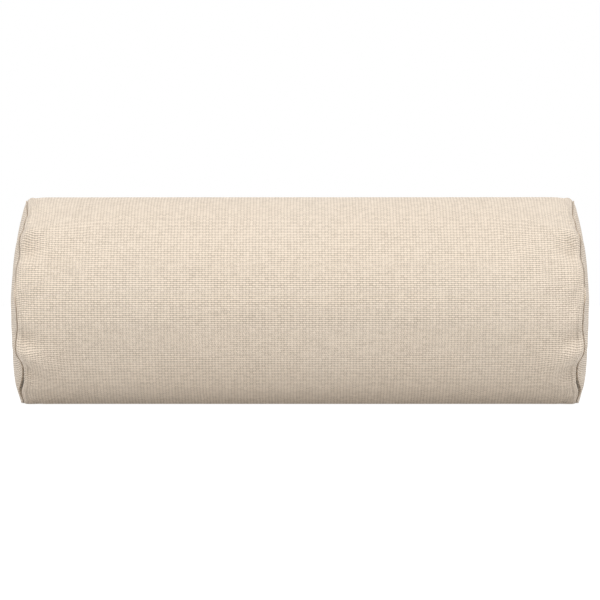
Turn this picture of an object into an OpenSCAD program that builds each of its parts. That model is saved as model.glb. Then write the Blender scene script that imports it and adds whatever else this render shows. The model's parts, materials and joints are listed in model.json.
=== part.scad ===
// Bolster pillow: a round firm roll with a woven cover, two sewn-in end panels and a coil zip along the back,
// around a removable insert of foam and wadding in its own thin liner.
// X runs along the roll, +Y is the back, +Z is up. The origin is the middle of the flat that it rests on.
// All sizes are in millimetres.

/* [Roll] */
// Outer diameter of the roll, front to back
roll_d = 170; // [150:1:200]
// Length of the cover between its two end seams
roll_l = 440; // [400:5:600]
// How far the underside is pressed flat by the pillow's own weight
base_drop = 4.5; // [3:0.5:8]
// How far each end panel is crowned outwards at its middle
end_crown = 10; // [6:1:16]

/* [Cover] */
// Thickness of the woven cover cloth
cover_t = 0.8; // [0.6:0.1:1]
// Width of the cloth turned in at the end seams
end_allowance = 10; // [8:1:12]
// Width of the cloth turned in along the zip
zip_allowance = 12; // [10:1:14]
// Thickness of the tape that binds the raw edges
binding_t = 0.4; // [0.3:0.1:0.4]

/* [Zip] */
// Angle of the zip above the horizontal, on the back of the roll
zip_angle = 22; // [20:1:30]
// Length of the zip's coils between its end stops
coil_l = 344; // [300:4:380]
// Width of the gap between the cover's two folded edges
zip_gap = 10; // [10:0.5:12]
// Width of each zip tape
tape_w = 14; // [12:1:16]
// Outer diameter of each coil
coil_d = 2.2; // [2:0.1:2.2]
// Length of the zip's slider
slider_l = 12; // [11:0.5:14]
// Width of the slider at its mouth
slider_w = 8.8; // [8.4:0.1:9]
// Length of the pull tab beyond the slider's bail
tab_l = 22; // [16:1:28]

/* [Insert] */
// Thickness of the liner cloth
liner_t = 0.4; // [0.3:0.1:0.5]
// Thickness of the wadding around and at both ends of the core
wadding_t = 12; // [8:1:20]

/* [Label] */
// Width of the blank care label along the seam
label_w = 26; // [20:1:26]
// Length of the care label from the seam to its fold
label_l = 38; // [25:1:45]

/* [Hidden] */

$fn = 96;
LEFT = -1;
RIGHT = 1;
UPPER = 1;
LOWER = -1;
eps = 0.01;

// The roll
roll_r = roll_d / 2;
axis_z = roll_r - base_drop;
seam_x = roll_l / 2;

// Layers at an end seam, as insets from the outer surface: cover wall, space for the binding,
// the body panel's turned edge, then the end panel's turned edge
layer_gap = 0.05;
body_turn_in = cover_t + binding_t + 2 * layer_gap;
panel_turn_in = body_turn_in + cover_t + layer_gap;
stack_in = panel_turn_in + cover_t;
binding_reach = 5;
seam_inset = 3;

// Layers along the zip, as insets: cover wall with its edge turned flat against it, then the zip tape
hem_in = 2 * cover_t;
tape_in = hem_in + layer_gap;
tape_t = 0.5;
tape_r = roll_r - tape_in;
coil_gap = 1.3;
coil_r = coil_d / 2;
coil_x = coil_l / 2;
opening_x = coil_x + 4;
stop_l = 3.4;
tape_over = 10;
seam_end_x = seam_x - end_allowance - 1.2;

// Stitches
stitch_pitch = 4;
stitch_l = 3;
stitch_w = 0.4;
stitch_t = 0.3;
stitch_from_edge = 2;
bartack_l = 3;
label_t = 0.35;

// The insert
liner_in = 4;
liner_x = seam_x - 3;
liner_crown = end_crown - 1.5;
liner_seam_angle = 95;
wadding_in = liner_in + liner_t + 0.2;
wadding_x = liner_x - 0.2;
core_in = wadding_in + wadding_t + 0.2;
core_x = wadding_x - wadding_t - 0.2;

// The slider and its pull tab, with heights measured from the roll's axis
clear = 0.3;
coil_top = tape_r + coil_d;
plate_t = 1.2;
plate_low = coil_top + clear;
plate_top = plate_low + plate_t;
under_top = tape_r - tape_t - clear;
under_t = 1.1;
tail_w = 7.2;
rail_t = 1;
neck_w = coil_gap - 2 * clear;
neck_l = 3;
bail_w = 1.6;
bail_l = 7;
bail_bar = 1;
window_l = 4.4;
window_h = 1.9;
slider_x = coil_x - slider_l / 2 - clear;
tab_t = 1.2;
tab_w = 7;
tab_hole_r = 1.4;
pin_y = plate_top + window_h / 2;
pin_r = tab_t / 2;
arm_w = 1.1;
arm_in = bail_w / 2 + clear;

// ---- Shapes that repeat ----

// The roll's outer shape taken in by inset all round and cut flat underneath, from x0 to x1
module roll(inset, x0, x1) {
    intersection() {
        translate([x0, 0, axis_z])
            rotate([0, 90, 0]) cylinder(r = roll_r - inset, h = x1 - x0);
        translate([x0 - 1, -roll_d, inset]) cube([x1 - x0 + 2, 2 * roll_d, 2 * roll_d]);
    }
}

// A sleeve between two insets, from x0 to x1
module sleeve(outer, inner, x0, x1) {
    difference() {
        roll(outer, x0, x1);
        roll(inner, x0 - 1, x1 + 1);
    }
}

// A crowned end beyond base_x, taken in by inset, that rises by rise at the middle of a roll of radius r
module crown(base_x, r, rise, inset, under) {
    sphere_r = (r * r + rise * rise) / (2 * rise);
    intersection() {
        translate([base_x + rise - sphere_r, 0, axis_z]) sphere(r = sphere_r - under, $fn = 288);
        translate([base_x, -roll_d, inset]) cube([2 * rise + 1, 2 * roll_d, 2 * roll_d]);
    }
}

// The crowned sheet of an end panel, t thick
module crown_sheet(base_x, inset, rise, t) {
    difference() {
        crown(base_x, roll_r - inset, rise, inset, 0);
        translate([-eps, 0, 0]) crown(base_x, roll_r - inset, rise, inset + t, t);
    }
}

// Everything for the left end is the right end's, mirrored
module at_end(side) {
    mirror([side == LEFT ? 1 : 0, 0, 0]) children();
}

// The frame of a line along the roll, angle degrees above the back: Y points out of the roll, Z up across it
module at_line(angle) {
    translate([0, 0, axis_z]) rotate([angle, 0, 0]) children();
}

// The frame of the zip
module at_zip() {
    at_line(zip_angle) children();
}

// A sheet that follows the roll from s0 to s1, measured round the outer surface from the frame's line
module arc_sheet(outer, inner, s0, s1, x0, x1) {
    degrees_per_mm = 180 / (PI * roll_r);
    rotate([0, 90, 0]) rotate([0, 0, 90 + s0 * degrees_per_mm])
        rotate_extrude(angle = (s1 - s0) * degrees_per_mm)
            translate([roll_r - inner, x0]) square([inner - outer, x1 - x0]);
}

// A box from corner a to corner b
module block(a, b) {
    translate(a) cube(b - a);
}

// A row of short stitches lying on the sheet at inset, along s
module stitch_row(inset, s, x0, x1) {
    count = floor((x1 - x0) / stitch_pitch);
    for (i = [0 : count - 1])
        arc_sheet(
            inset - stitch_t, inset, s - stitch_w / 2, s + stitch_w / 2,
            x0 + i * stitch_pitch, x0 + i * stitch_pitch + stitch_l
        );
}

// ---- Cover ----

// The opening left for the zip
module zip_opening() {
    at_zip() block([-opening_x, roll_r - 8, -zip_gap / 2], [opening_x, roll_r + 8, zip_gap / 2]);
}

// The panel's two long edges, turned flat against the wall on both sides of the back seam and its zip
module back_hems() {
    reach = zip_gap / 2 + zip_allowance;
    at_zip() arc_sheet(cover_t / 2, hem_in, -reach, reach, -seam_end_x, seam_end_x);
}

// One rectangle of cloth rolled into a tube, with its edge turned in at each end and along the zip
module cover_body_panel() {
    color("#e6d8c4")
    difference() {
        union() {
            sleeve(0, cover_t, -seam_x, seam_x);
            for (side = [LEFT, RIGHT]) at_end(side) {
                sleeve(body_turn_in, body_turn_in + cover_t, seam_x - end_allowance, seam_x);
                sleeve(0, body_turn_in + cover_t, seam_x - cover_t, seam_x);
            }
            back_hems();
        }
        zip_opening();
    }
}

// A round panel with its edge turned in along the body panel's
module cover_end(side) {
    color("#dfd3c1")
    at_end(side) union() {
        crown_sheet(seam_x, 0, end_crown, cover_t);
        sleeve(panel_turn_in, stack_in, seam_x - end_allowance, seam_x + eps);
    }
}

// The line of lockstitch that joins an end panel to the body panel
module end_seam_thread(side) {
    color("#efe7d8")
    at_end(side) sleeve(stack_in + layer_gap, stack_in + layer_gap + stitch_t,
        seam_x - seam_inset, seam_x - seam_inset + stitch_w);
}

// A narrow tape folded over both raw edges of an end seam
module end_seam_binding(side) {
    inner = stack_in + layer_gap;
    raw_x = seam_x - end_allowance - layer_gap;
    color("#f3efe6")
    at_end(side) union() {
        sleeve(cover_t + layer_gap, cover_t + layer_gap + binding_t, raw_x - binding_t, raw_x + binding_reach);
        sleeve(inner, inner + binding_t, raw_x - binding_t, raw_x + binding_reach);
        sleeve(cover_t + layer_gap, inner + binding_t, raw_x - binding_t, raw_x);
    }
}

// The lockstitch that closes the back seam between the zip and an end
module back_seam_thread(side) {
    color("#efe7d8")
    at_end(side) at_zip()
        arc_sheet(tape_in, tape_in + stitch_t, -stitch_w / 2, stitch_w / 2, opening_x + 1, seam_end_x);
}

// ---- Zip ----

// One woven tape, sewn under the cover's turned edge
module zip_tape(row) {
    inner_edge = coil_gap / 2 + 0.6;
    color("#ece2d0")
    at_zip() mirror([0, 0, row == LOWER ? 1 : 0])
        arc_sheet(tape_in, tape_in + tape_t, inner_edge, inner_edge + tape_w,
            -opening_x - tape_over, opening_x + tape_over);
}

// The outer shape of one coil of monofilament, standing on its tape
module zip_coil(row) {
    color("#e2d6c2")
    at_zip() translate([-coil_x, tape_r + coil_r, row * (coil_gap / 2 + coil_r)])
        rotate([0, 90, 0]) cylinder(d = coil_d, h = coil_l, $fn = 32);
}

// A crimped stop on each coil, where the zip is closed
module zip_top_stops() {
    color("#b9b6ae")
    at_zip() for (row = [LOWER, UPPER]) mirror([0, 0, row == LOWER ? 1 : 0])
        block([coil_x + layer_gap, tape_r, coil_gap / 2 + 0.1],
            [coil_x + stop_l, coil_top, coil_gap / 2 + coil_d + 0.3]);
}

// One wide stop across both coils, where the zip is open
module zip_bottom_stop() {
    half_w = coil_gap / 2 + coil_d + 0.2;
    color("#b9b6ae")
    at_zip() block([-coil_x - stop_l, tape_r, -half_w], [-coil_x - layer_gap, coil_top, half_w]);
}

// The row of stitches that holds one tape to the cover
module zip_stitches(row) {
    color("#f1eadc")
    at_zip() mirror([0, 0, row == LOWER ? 1 : 0])
        stitch_row(0, zip_gap / 2 + stitch_from_edge, -opening_x, opening_x);
}

// A dense tack across each end of the opening
module zip_bartacks() {
    half_w = zip_gap / 2 + stitch_from_edge;
    color("#f1eadc")
    for (side = [LEFT, RIGHT]) at_end(side) at_zip()
        arc_sheet(-stitch_t, 0, -half_w, half_w, opening_x + 0.5, opening_x + 0.5 + bartack_l);
}

// The metal slider: two plates round the coils, joined by a neck, with a bail for the pull tab
module zip_slider() {
    mouth = slider_l / 2;
    plate = [
        [-mouth, -tail_w / 2], [-mouth, tail_w / 2], [mouth - 4, slider_w / 2],
        [mouth, slider_w / 2], [mouth, -slider_w / 2], [mouth - 4, -slider_w / 2]
    ];
    color("#b9b6ae")
    at_zip() translate([slider_x, 0, 0]) union() {
        for (low = [under_top - under_t, plate_low])
            translate([0, low + (low == plate_low ? plate_t : under_t), 0])
                rotate([90, 0, 0]) linear_extrude(low == plate_low ? plate_t : under_t) polygon(plate);
        block([mouth - 1.5 - neck_l, under_top - eps, -neck_w / 2], [mouth - 1.5, plate_low + eps, neck_w / 2]);
        for (row = [LOWER, UPPER]) mirror([0, 0, row == LOWER ? 1 : 0])
            block([mouth - 4, tape_r + clear, slider_w / 2 - rail_t], [mouth, plate_low + eps, slider_w / 2]);
        difference() {
            block([-bail_l / 2, plate_top - eps, -bail_w / 2],
                [bail_l / 2, plate_top + window_h + bail_bar, bail_w / 2]);
            block([-window_l / 2, plate_top, -bail_w], [window_l / 2, plate_top + window_h, bail_w]);
        }
    }
}

// The pull tab: a pin under the bail, two arms and a rounded tab with a hole, lying back along the coils
module zip_puller() {
    tab_x = -bail_l / 2 - 1;
    color("#c4c1b8")
    at_zip() translate([slider_x, pin_y, 0]) difference() {
        union() {
            translate([0, 0, -arm_in - arm_w]) cylinder(r = pin_r, h = 2 * (arm_in + arm_w), $fn = 32);
            for (row = [LOWER, UPPER]) mirror([0, 0, row == LOWER ? 1 : 0])
                block([tab_x - 1, -tab_t / 2, arm_in], [0, tab_t / 2, arm_in + arm_w]);
            block([tab_x - tab_l + tab_w / 2, -tab_t / 2, -tab_w / 2], [tab_x, tab_t / 2, tab_w / 2]);
            translate([tab_x - tab_l + tab_w / 2, tab_t / 2, 0])
                rotate([90, 0, 0]) cylinder(d = tab_w, h = tab_t, $fn = 48);
        }
        translate([tab_x - tab_l + tab_w / 2, tab_t, 0])
            rotate([90, 0, 0]) cylinder(r = tab_hole_r, h = 2 * tab_t, $fn = 32);
    }
}

// A blank care label caught in the back seam, lying down the outside
module care_label() {
    color("#fbfaf6")
    at_zip() arc_sheet(-layer_gap - label_t, -layer_gap, -label_l, 0, -seam_end_x, -seam_end_x + label_w);
}

// ---- Insert ----

// The liner's tube
module liner_body() {
    color("#f4f3ef") sleeve(liner_in, liner_in + liner_t, -liner_x, liner_x);
}

// The liner's round end
module liner_end(side) {
    color("#f4f3ef") at_end(side) crown_sheet(liner_x, liner_in, liner_crown, liner_t);
}

// The stitches that close the liner once it is filled
module liner_closing_stitches() {
    color("#ffffff")
    at_line(liner_seam_angle) stitch_row(liner_in, 0, -liner_x + 20, liner_x - 20);
}

// A layer of wadding wrapped round the core
module wadding_wrap() {
    color("#fbfbf8") sleeve(wadding_in, wadding_in + wadding_t, -core_x, core_x);
}

// A crowned disc of wadding against an end of the core
module wadding_disc(side) {
    color("#fbfbf8") at_end(side) union() {
        roll(wadding_in, core_x + 0.2, wadding_x);
        crown(wadding_x - eps, roll_r - wadding_in - 1, liner_crown - 1, wadding_in, 0);
    }
}

// The firm foam roll in the middle
module foam_core() {
    color("#efe3b8") roll(core_in, -core_x, core_x);
}

cover_body_panel();
cover_end(LEFT);  // cover_end_left
cover_end(RIGHT);  // cover_end_right
end_seam_thread(LEFT);  // end_seam_thread_left
end_seam_thread(RIGHT);  // end_seam_thread_right
end_seam_binding(LEFT);  // end_seam_binding_left
end_seam_binding(RIGHT);  // end_seam_binding_right
back_seam_thread(LEFT);  // back_seam_thread_left
back_seam_thread(RIGHT);  // back_seam_thread_right
zip_tape(UPPER);  // zip_tape_upper
zip_tape(LOWER);  // zip_tape_lower
zip_coil(UPPER);  // zip_coil_upper
zip_coil(LOWER);  // zip_coil_lower
zip_top_stops();
zip_bottom_stop();
zip_stitches(UPPER);  // zip_stitches_upper
zip_stitches(LOWER);  // zip_stitches_lower
zip_bartacks();
care_label();
liner_body();
liner_end(LEFT);  // liner_end_left
liner_end(RIGHT);  // liner_end_right
liner_closing_stitches();
wadding_wrap();
wadding_disc(LEFT);  // wadding_disc_left
wadding_disc(RIGHT);  // wadding_disc_right
foam_core();
zip_slider();
zip_puller();
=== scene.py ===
"""A bolster pillow for a massage table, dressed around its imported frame.

A woven cover with a round panel sewn into each end and a coil zip along its back, over a liner, wadding and
a foam core. Lengths are in metres and angles in degrees, unless a name says otherwise.
"""

import json
import logging
import math
import random
from contextlib import contextmanager
from dataclasses import dataclass, field
from enum import Enum
from typing import Any, Callable, Iterator, Sequence

import bmesh
import bpy
import numpy as np
from mathutils import Matrix, Vector


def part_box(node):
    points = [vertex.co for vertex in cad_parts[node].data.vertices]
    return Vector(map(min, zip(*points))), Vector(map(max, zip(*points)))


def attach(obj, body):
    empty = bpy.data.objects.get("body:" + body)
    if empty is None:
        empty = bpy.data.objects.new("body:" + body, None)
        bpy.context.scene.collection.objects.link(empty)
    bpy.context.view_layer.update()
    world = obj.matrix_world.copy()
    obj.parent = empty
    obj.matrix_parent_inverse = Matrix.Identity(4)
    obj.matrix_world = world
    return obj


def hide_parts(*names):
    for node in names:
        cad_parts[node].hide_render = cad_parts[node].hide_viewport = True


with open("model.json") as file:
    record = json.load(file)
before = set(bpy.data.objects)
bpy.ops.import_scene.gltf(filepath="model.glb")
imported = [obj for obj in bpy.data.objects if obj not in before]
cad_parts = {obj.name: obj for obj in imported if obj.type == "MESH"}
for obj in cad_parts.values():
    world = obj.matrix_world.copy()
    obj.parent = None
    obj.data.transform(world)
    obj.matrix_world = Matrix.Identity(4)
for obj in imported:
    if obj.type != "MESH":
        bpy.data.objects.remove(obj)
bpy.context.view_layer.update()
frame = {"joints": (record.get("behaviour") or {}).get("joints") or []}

MM = 0.001
PILLOW = "pillow"
SEAM_HOLD = 0.6
SEAM_REACH = 5.5 * MM
ACROSS = Matrix.Diagonal((1.0, 1.0, -1.0, 1.0))
Colour = tuple[float, float, float]
Piece = bpy.types.Object

logging.basicConfig(level=logging.INFO, format="%(levelname)s %(message)s")
log = logging.getLogger("bolster")


class End(Enum):
    """Which end of the roll."""

    LEFT = -1
    RIGHT = 1


class Row(Enum):
    """Which side of the zip's middle line."""

    LOWER = -1
    UPPER = 1


class Pick(Enum):
    """Which kind of mesh element a test picks."""

    POINTS = "VERT"
    EDGES = "EDGE"
    FACES = "FACE"


# ---- The bench: modelling by hand ----


def clear_bench() -> None:
    """Leaves edit mode and deselects everything."""
    if bpy.context.object and bpy.context.object.mode != "OBJECT":
        bpy.ops.object.mode_set(mode="OBJECT")
    for other in list(bpy.context.selected_objects):
        other.select_set(False)


def take_up(piece: Piece) -> None:
    """Selects one piece alone and makes it the active one.

    Args:
        piece: The piece to work on.
    """
    clear_bench()
    bpy.context.view_layer.objects.active = piece
    piece.select_set(True)


@contextmanager
def shaping(piece: Piece) -> Iterator[None]:
    """Holds a piece in edit mode with nothing selected.

    Args:
        piece: The piece to shape.
    """
    take_up(piece)
    bpy.ops.object.mode_set(mode="EDIT")
    bpy.ops.mesh.select_all(action="DESELECT")
    yield
    bpy.ops.object.mode_set(mode="OBJECT")


def pick(piece: Piece, kind: Pick, test: Callable[[Any], bool]) -> int:
    """Selects the elements of a piece in edit mode that pass a test, and nothing else.

    Args:
        piece: A piece in edit mode.
        kind: Points, edges or faces.
        test: Takes one bmesh element and says whether it is wanted.

    Returns:
        How many elements were picked.
    """
    bpy.ops.mesh.select_mode(type=kind.value)
    bpy.ops.mesh.select_all(action="DESELECT")
    mesh = bmesh.from_edit_mesh(piece.data)
    rows = {Pick.POINTS: mesh.verts, Pick.EDGES: mesh.edges, Pick.FACES: mesh.faces}[kind]
    chosen = [element for element in rows if test(element)]
    for element in chosen:
        element.select_set(True)
    bmesh.update_edit_mesh(piece.data)
    return len(chosen)


def new_piece(name: str) -> Piece:
    """Names the primitive just added and settles it at the origin.

    Args:
        name: The piece's name.

    Returns:
        The piece, unturned and unscaled, with its place in its mesh.
    """
    piece = bpy.context.object
    piece.name = name
    piece.data.name = name
    bpy.ops.object.transform_apply(location=True, rotation=True, scale=True)
    return piece


def finish_with(piece: Piece, kind: str, **settings: Any) -> None:
    """Adds one modifier to a piece and applies it.

    Args:
        piece: The piece to finish.
        kind: The modifier's type.
        **settings: The modifier's properties.
    """
    take_up(piece)
    modifier = piece.modifiers.new(kind.title(), kind)
    for name, value in settings.items():
        setattr(modifier, name, value)
    bpy.ops.object.modifier_apply(modifier=modifier.name)


def round_edges(piece: Piece, width: float, segments: int = 2, angle: float = 40.0) -> None:
    """Rounds a piece's sharp edges and smooths its faces.

    Args:
        piece: The piece to round.
        width: The rounding's width.
        segments: The faces across the rounding.
        angle: The smallest angle that counts as sharp.
    """
    finish_with(piece, "BEVEL", width=width, segments=segments, limit_method="ANGLE",
                angle_limit=math.radians(angle), harden_normals=False)
    smooth(piece, angle)


def smooth(piece: Piece, angle: float) -> None:
    """Smooths a piece's faces, apart from edges sharper than an angle in degrees."""
    take_up(piece)
    bpy.ops.object.shade_smooth_by_angle(angle=math.radians(angle))


def face_outwards(piece: Piece) -> None:
    """Turns all of a piece's faces the same way, outwards."""
    with shaping(piece):
        bpy.ops.mesh.select_all(action="SELECT")
        bpy.ops.mesh.normals_make_consistent(inside=False)


def join(pieces: Sequence[Piece], name: str) -> Piece:
    """Joins pieces into one.

    Args:
        pieces: The pieces, the first of which stays.
        name: The joined piece's name.

    Returns:
        The joined piece.
    """
    take_up(pieces[0])
    for piece in pieces[1:]:
        piece.select_set(True)
    if len(pieces) > 1:
        bpy.ops.object.join()
    pieces[0].name = name
    pieces[0].data.name = name
    return pieces[0]


def copy_of(piece: Piece, name: str, place: Matrix) -> Piece:
    """Copies a piece with its own mesh and puts the copy in its place.

    Args:
        piece: The piece to copy.
        name: The copy's name.
        place: The move from the piece to its copy.

    Returns:
        The copy, with its place in its mesh.
    """
    take_up(piece)
    bpy.ops.object.duplicate()
    twin = bpy.context.object
    twin.name = name
    twin.data.name = name
    twin.data.transform(place)
    if place.determinant() < 0:
        with shaping(twin):
            bpy.ops.mesh.select_all(action="SELECT")
            bpy.ops.mesh.flip_normals()
    return twin


def read_points(piece: Piece) -> np.ndarray:
    """Reads a piece's points as an array of rows."""
    points = np.zeros(len(piece.data.vertices) * 3)
    piece.data.vertices.foreach_get("co", points)
    return points.reshape(-1, 3)


def write_points(piece: Piece, points: np.ndarray) -> None:
    """Moves a piece's points to the rows of an array."""
    piece.data.vertices.foreach_set("co", points.ravel())
    piece.data.update()


def settle(piece: Piece, body: str, nodes: Sequence[str] = ()) -> Piece:
    """Rides a finished piece on its body, in place of the CAD nodes that it stands for.

    Args:
        piece: The finished piece.
        body: The body that it moves with.
        nodes: The CAD nodes that it replaces.

    Returns:
        The same piece.
    """
    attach(piece, body)
    if nodes:
        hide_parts(*nodes)
    log.info("%s: %d faces, on %s", piece.name, len(piece.data.polygons), body)
    return piece


def dress(piece: Piece, material: bpy.types.Material) -> None:
    """Gives a piece one material all over."""
    piece.data.materials.clear()
    piece.data.materials.append(material)


# ---- Finishes ----


@dataclass(frozen=True)
class Signal:
    """One value in a material's node tree, which can be added, scaled and compared like a number."""

    tree: "FinishTree"
    socket: bpy.types.NodeSocket

    def math(self, operation: str, *others: "Signal | float") -> "Signal":
        """Runs this value and others through a Math node.

        Args:
            operation: The Math node's operation.
            *others: The node's further values.

        Returns:
            The result.
        """
        sockets = dict(enumerate((self, *others)))
        return self.tree.node("ShaderNodeMath", {"operation": operation}, sockets, "Value")

    def __add__(self, other: "Signal | float") -> "Signal":
        """Adds."""
        return self.math("ADD", other)

    __radd__ = __add__

    def __sub__(self, other: "Signal | float") -> "Signal":
        """Subtracts."""
        return self.math("SUBTRACT", other)

    def __rsub__(self, other: float) -> "Signal":
        """Subtracts this value from a number."""
        return (self * -1.0).math("ADD", other)

    def __mul__(self, other: "Signal | float") -> "Signal":
        """Multiplies."""
        return self.math("MULTIPLY", other)

    __rmul__ = __mul__

    def __truediv__(self, other: "Signal | float") -> "Signal":
        """Divides."""
        return self.math("DIVIDE", other)

    def sine(self) -> "Signal":
        """The sine of this value in radians."""
        return self.math("SINE")

    def whole(self) -> "Signal":
        """The whole number below this value."""
        return self.math("FLOOR")

    def part(self) -> "Signal":
        """What is left above the whole number below this value."""
        return self.math("FRACT")

    def size(self) -> "Signal":
        """This value without its sign."""
        return self.math("ABSOLUTE")

    def higher(self, other: "Signal | float") -> "Signal":
        """The higher of this value and another, blended where they are close."""
        return self.math("SMOOTH_MAX", other, 0.12)

    def ramp(self, low: float, high: float, low_out: float = 0.0, high_out: float = 1.0) -> "Signal":
        """Carries low to high smoothly over to low_out to high_out, and holds it there beyond them."""
        settings = {"interpolation_type": "SMOOTHSTEP", "clamp": True}
        sockets = {"Value": self, "From Min": low, "From Max": high, "To Min": low_out, "To Max": high_out}
        return self.tree.node("ShaderNodeMapRange", settings, sockets, "Result")


class FinishTree:
    """One material's node tree, built up from values."""

    def __init__(self, name: str, holder: Any = None) -> None:
        """Starts an empty tree.

        Args:
            name: The material's name.
            holder: A world to build the tree in, where it isn't a new material's.
        """
        self.material = holder or bpy.data.materials.new(name)
        self.material.use_nodes = True
        self.nodes = self.material.node_tree.nodes
        self.links = self.material.node_tree.links
        self.nodes.clear()

    def node(self, kind: str, settings: dict[str, Any], sockets: dict[Any, Any],
             out: str | int = 0) -> Signal:
        """Adds one node.

        Args:
            kind: The node's type.
            settings: Its properties, set before anything is linked.
            sockets: The value or Signal of each input, by name or number.
            out: The output that is wanted.

        Returns:
            The wanted output.
        """
        made = self.nodes.new(kind)
        for name, value in settings.items():
            setattr(made, name, value)
        for name, value in sockets.items():
            if isinstance(value, Signal):
                self.links.new(value.socket, made.inputs[name])
            else:
                made.inputs[name].default_value = value
        return Signal(self, made.outputs[out])

    def blend(self, factor: Signal | float, first: Any, second: Any) -> Signal:
        """Mixes two colours.

        Args:
            factor: From 0, all of the first, to 1, all of the second.
            first: A colour or Signal.
            second: A colour or Signal.

        Returns:
            The mixed colour.
        """
        made = self.nodes.new("ShaderNodeMix")
        made.data_type = "RGBA"
        for number, value in ((0, factor), (6, first), (7, second)):
            if isinstance(value, Signal):
                self.links.new(value.socket, made.inputs[number])
            else:
                made.inputs[number].default_value = (*value, 1.0) if number else value
        return Signal(self, made.outputs[2])

    def axes(self, place: Signal) -> tuple[Signal, Signal, Signal]:
        """Takes a place apart.

        Args:
            place: A vector.

        Returns:
            Its X, Y and Z.
        """
        split = self.node("ShaderNodeSeparateXYZ", {}, {0: place})
        return tuple(Signal(self, out) for out in split.socket.node.outputs)

    def place(self) -> Signal:
        """The point's place on the object, in metres."""
        return self.node("ShaderNodeTexCoord", {}, {}, "Object")

    def cloth_place(self, layer: str) -> Signal:
        """The point's place on the flat cloth, in metres."""
        return self.node("ShaderNodeUVMap", {"uv_map": layer}, {}, "UV")

    def noise(self, place: Signal, scale: float, detail: float = 3.0, roughness: float = 0.55) -> Signal:
        """Smooth noise about 0.5."""
        sockets = {"Vector": place, "Scale": scale, "Detail": detail, "Roughness": roughness}
        return self.node("ShaderNodeTexNoise", {"noise_dimensions": "3D"}, sockets, "Fac")

    def vector(self, x: Any, y: Any, z: Any) -> Signal:
        """Puts three values together as a vector."""
        return self.node("ShaderNodeCombineXYZ", {}, {0: x, 1: y, 2: z})

    def bump(self, height: Signal, distance: float, strength: float = 1.0) -> Signal:
        """Turns a height into a tilted normal.

        Args:
            height: From 0 to about 1.
            distance: What a height of 1 stands for.
            strength: How much of the tilt is kept.

        Returns:
            The normal.
        """
        sockets = {"Height": height, "Distance": distance, "Strength": strength}
        return self.node("ShaderNodeBump", {}, sockets, "Normal")

    def close(self, **sockets: Any) -> bpy.types.Material:
        """Ends the tree in a Principled shader.

        Args:
            **sockets: The shader's inputs, with _ for a space.

        Returns:
            The material.
        """
        named = {name.replace("_", " "): value for name, value in sockets.items()}
        shader = self.node("ShaderNodeBsdfPrincipled", {}, named, "BSDF")
        self.node_output(shader)
        return self.material

    def node_output(self, shader: Signal) -> None:
        """Links a shader to the material's output."""
        output = self.nodes.new("ShaderNodeOutputMaterial")
        self.links.new(shader.socket, output.inputs["Surface"])


@dataclass(frozen=True)
class BasketWeave:
    """The cover's plain weave of coated yarn bundles, with painted shade in the gaps between them."""

    name: str = "cream_basket_weave"
    layer: str = "cloth"
    crown: Colour = (0.905, 0.775, 0.637)
    # The gap colour is painted shade between the yarns, where the weave lies low.
    painted_gap_shade: Colour = (0.385, 0.315, 0.24)
    pitch_along: float = 2.38 * MM
    pitch_round: float = 1.6686 * MM
    relief: float = 0.85 * MM

    def make(self) -> bpy.types.Material:
        """Builds the finish.

        Returns:
            The material, which follows the cloth's own map.
        """
        tree = FinishTree(self.name)
        cloth = tree.cloth_place(self.layer)
        along, round_roll, _ = tree.axes(cloth)
        wander = tree.noise(cloth, 38.0, 2.0) - 0.5
        drift = tree.noise(tree.vector(round_roll, along, 3.0), 33.0, 2.0) - 0.5
        column = along / self.pitch_along + wander * 0.45
        line = round_roll / self.pitch_round + drift * 0.25
        over = (column * math.pi).sine() * (line * math.pi).sine()
        across_weft = (line.part() - 0.5).size() * 2.0
        across_warp = (column.part() - 0.5).size() * 2.0
        weft = (1.0 - across_weft * across_weft) * 0.66 + over * 0.34
        warp = (1.0 - across_warp * across_warp) * 0.44 - over * 0.26
        strands_weft = (line * (4.0 * math.pi)).sine() * 0.05
        strands_warp = (column * (6.0 * math.pi)).sine() * 0.04
        height = (weft + strands_weft).higher(warp + strands_warp)
        bundle = tree.vector(column.whole() * 0.37, line.whole() * 0.61, 0.0)
        speckle = tree.node("ShaderNodeTexWhiteNoise", {"noise_dimensions": "3D"}, {"Vector": bundle},
                            "Value")
        slub_weft = tree.noise(tree.vector(along * 45.0, line.whole() * 0.73, 0.0), 1.0, 2.0)
        slub_warp = tree.noise(tree.vector(column.whole() * 0.73, round_roll * 45.0, 7.0), 1.0, 2.0)
        # Painted shade: the colour darkens in the crevices between the yarns.
        crevice_shade_weft = across_weft * across_weft * across_weft * 0.20
        crevice_shade_warp = across_warp * across_warp * across_warp * 0.06
        crevice_shade = crevice_shade_weft + crevice_shade_warp
        yarn = speckle * 0.20 + slub_weft * 0.24 + slub_warp * 0.24
        # The tone is the yarns' own speckle and slubs plus painted shade: the lower the weave, the darker,
        # down to the gap's shade colour.
        tone_and_shade = yarn + height.ramp(0.05, 0.95) * 0.68 - crevice_shade + 0.18
        colour = tree.blend(tone_and_shade.ramp(0.10, 1.20), self.painted_gap_shade, self.crown)
        cloud = tree.noise(cloth, 9.0, 2.0)
        colour = tree.blend(cloud.ramp(0.35, 0.75, 0.0, 0.10), colour, (0.80, 0.745, 0.66))
        roughness = height.ramp(0.1, 0.9, 0.78, 0.55)
        normal = tree.bump(height, self.relief, 0.95)
        return tree.close(Base_Color=colour, Roughness=roughness, Normal=normal,
                          Sheen_Weight=0.12, Sheen_Roughness=0.5, Specular_IOR_Level=0.35)


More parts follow.
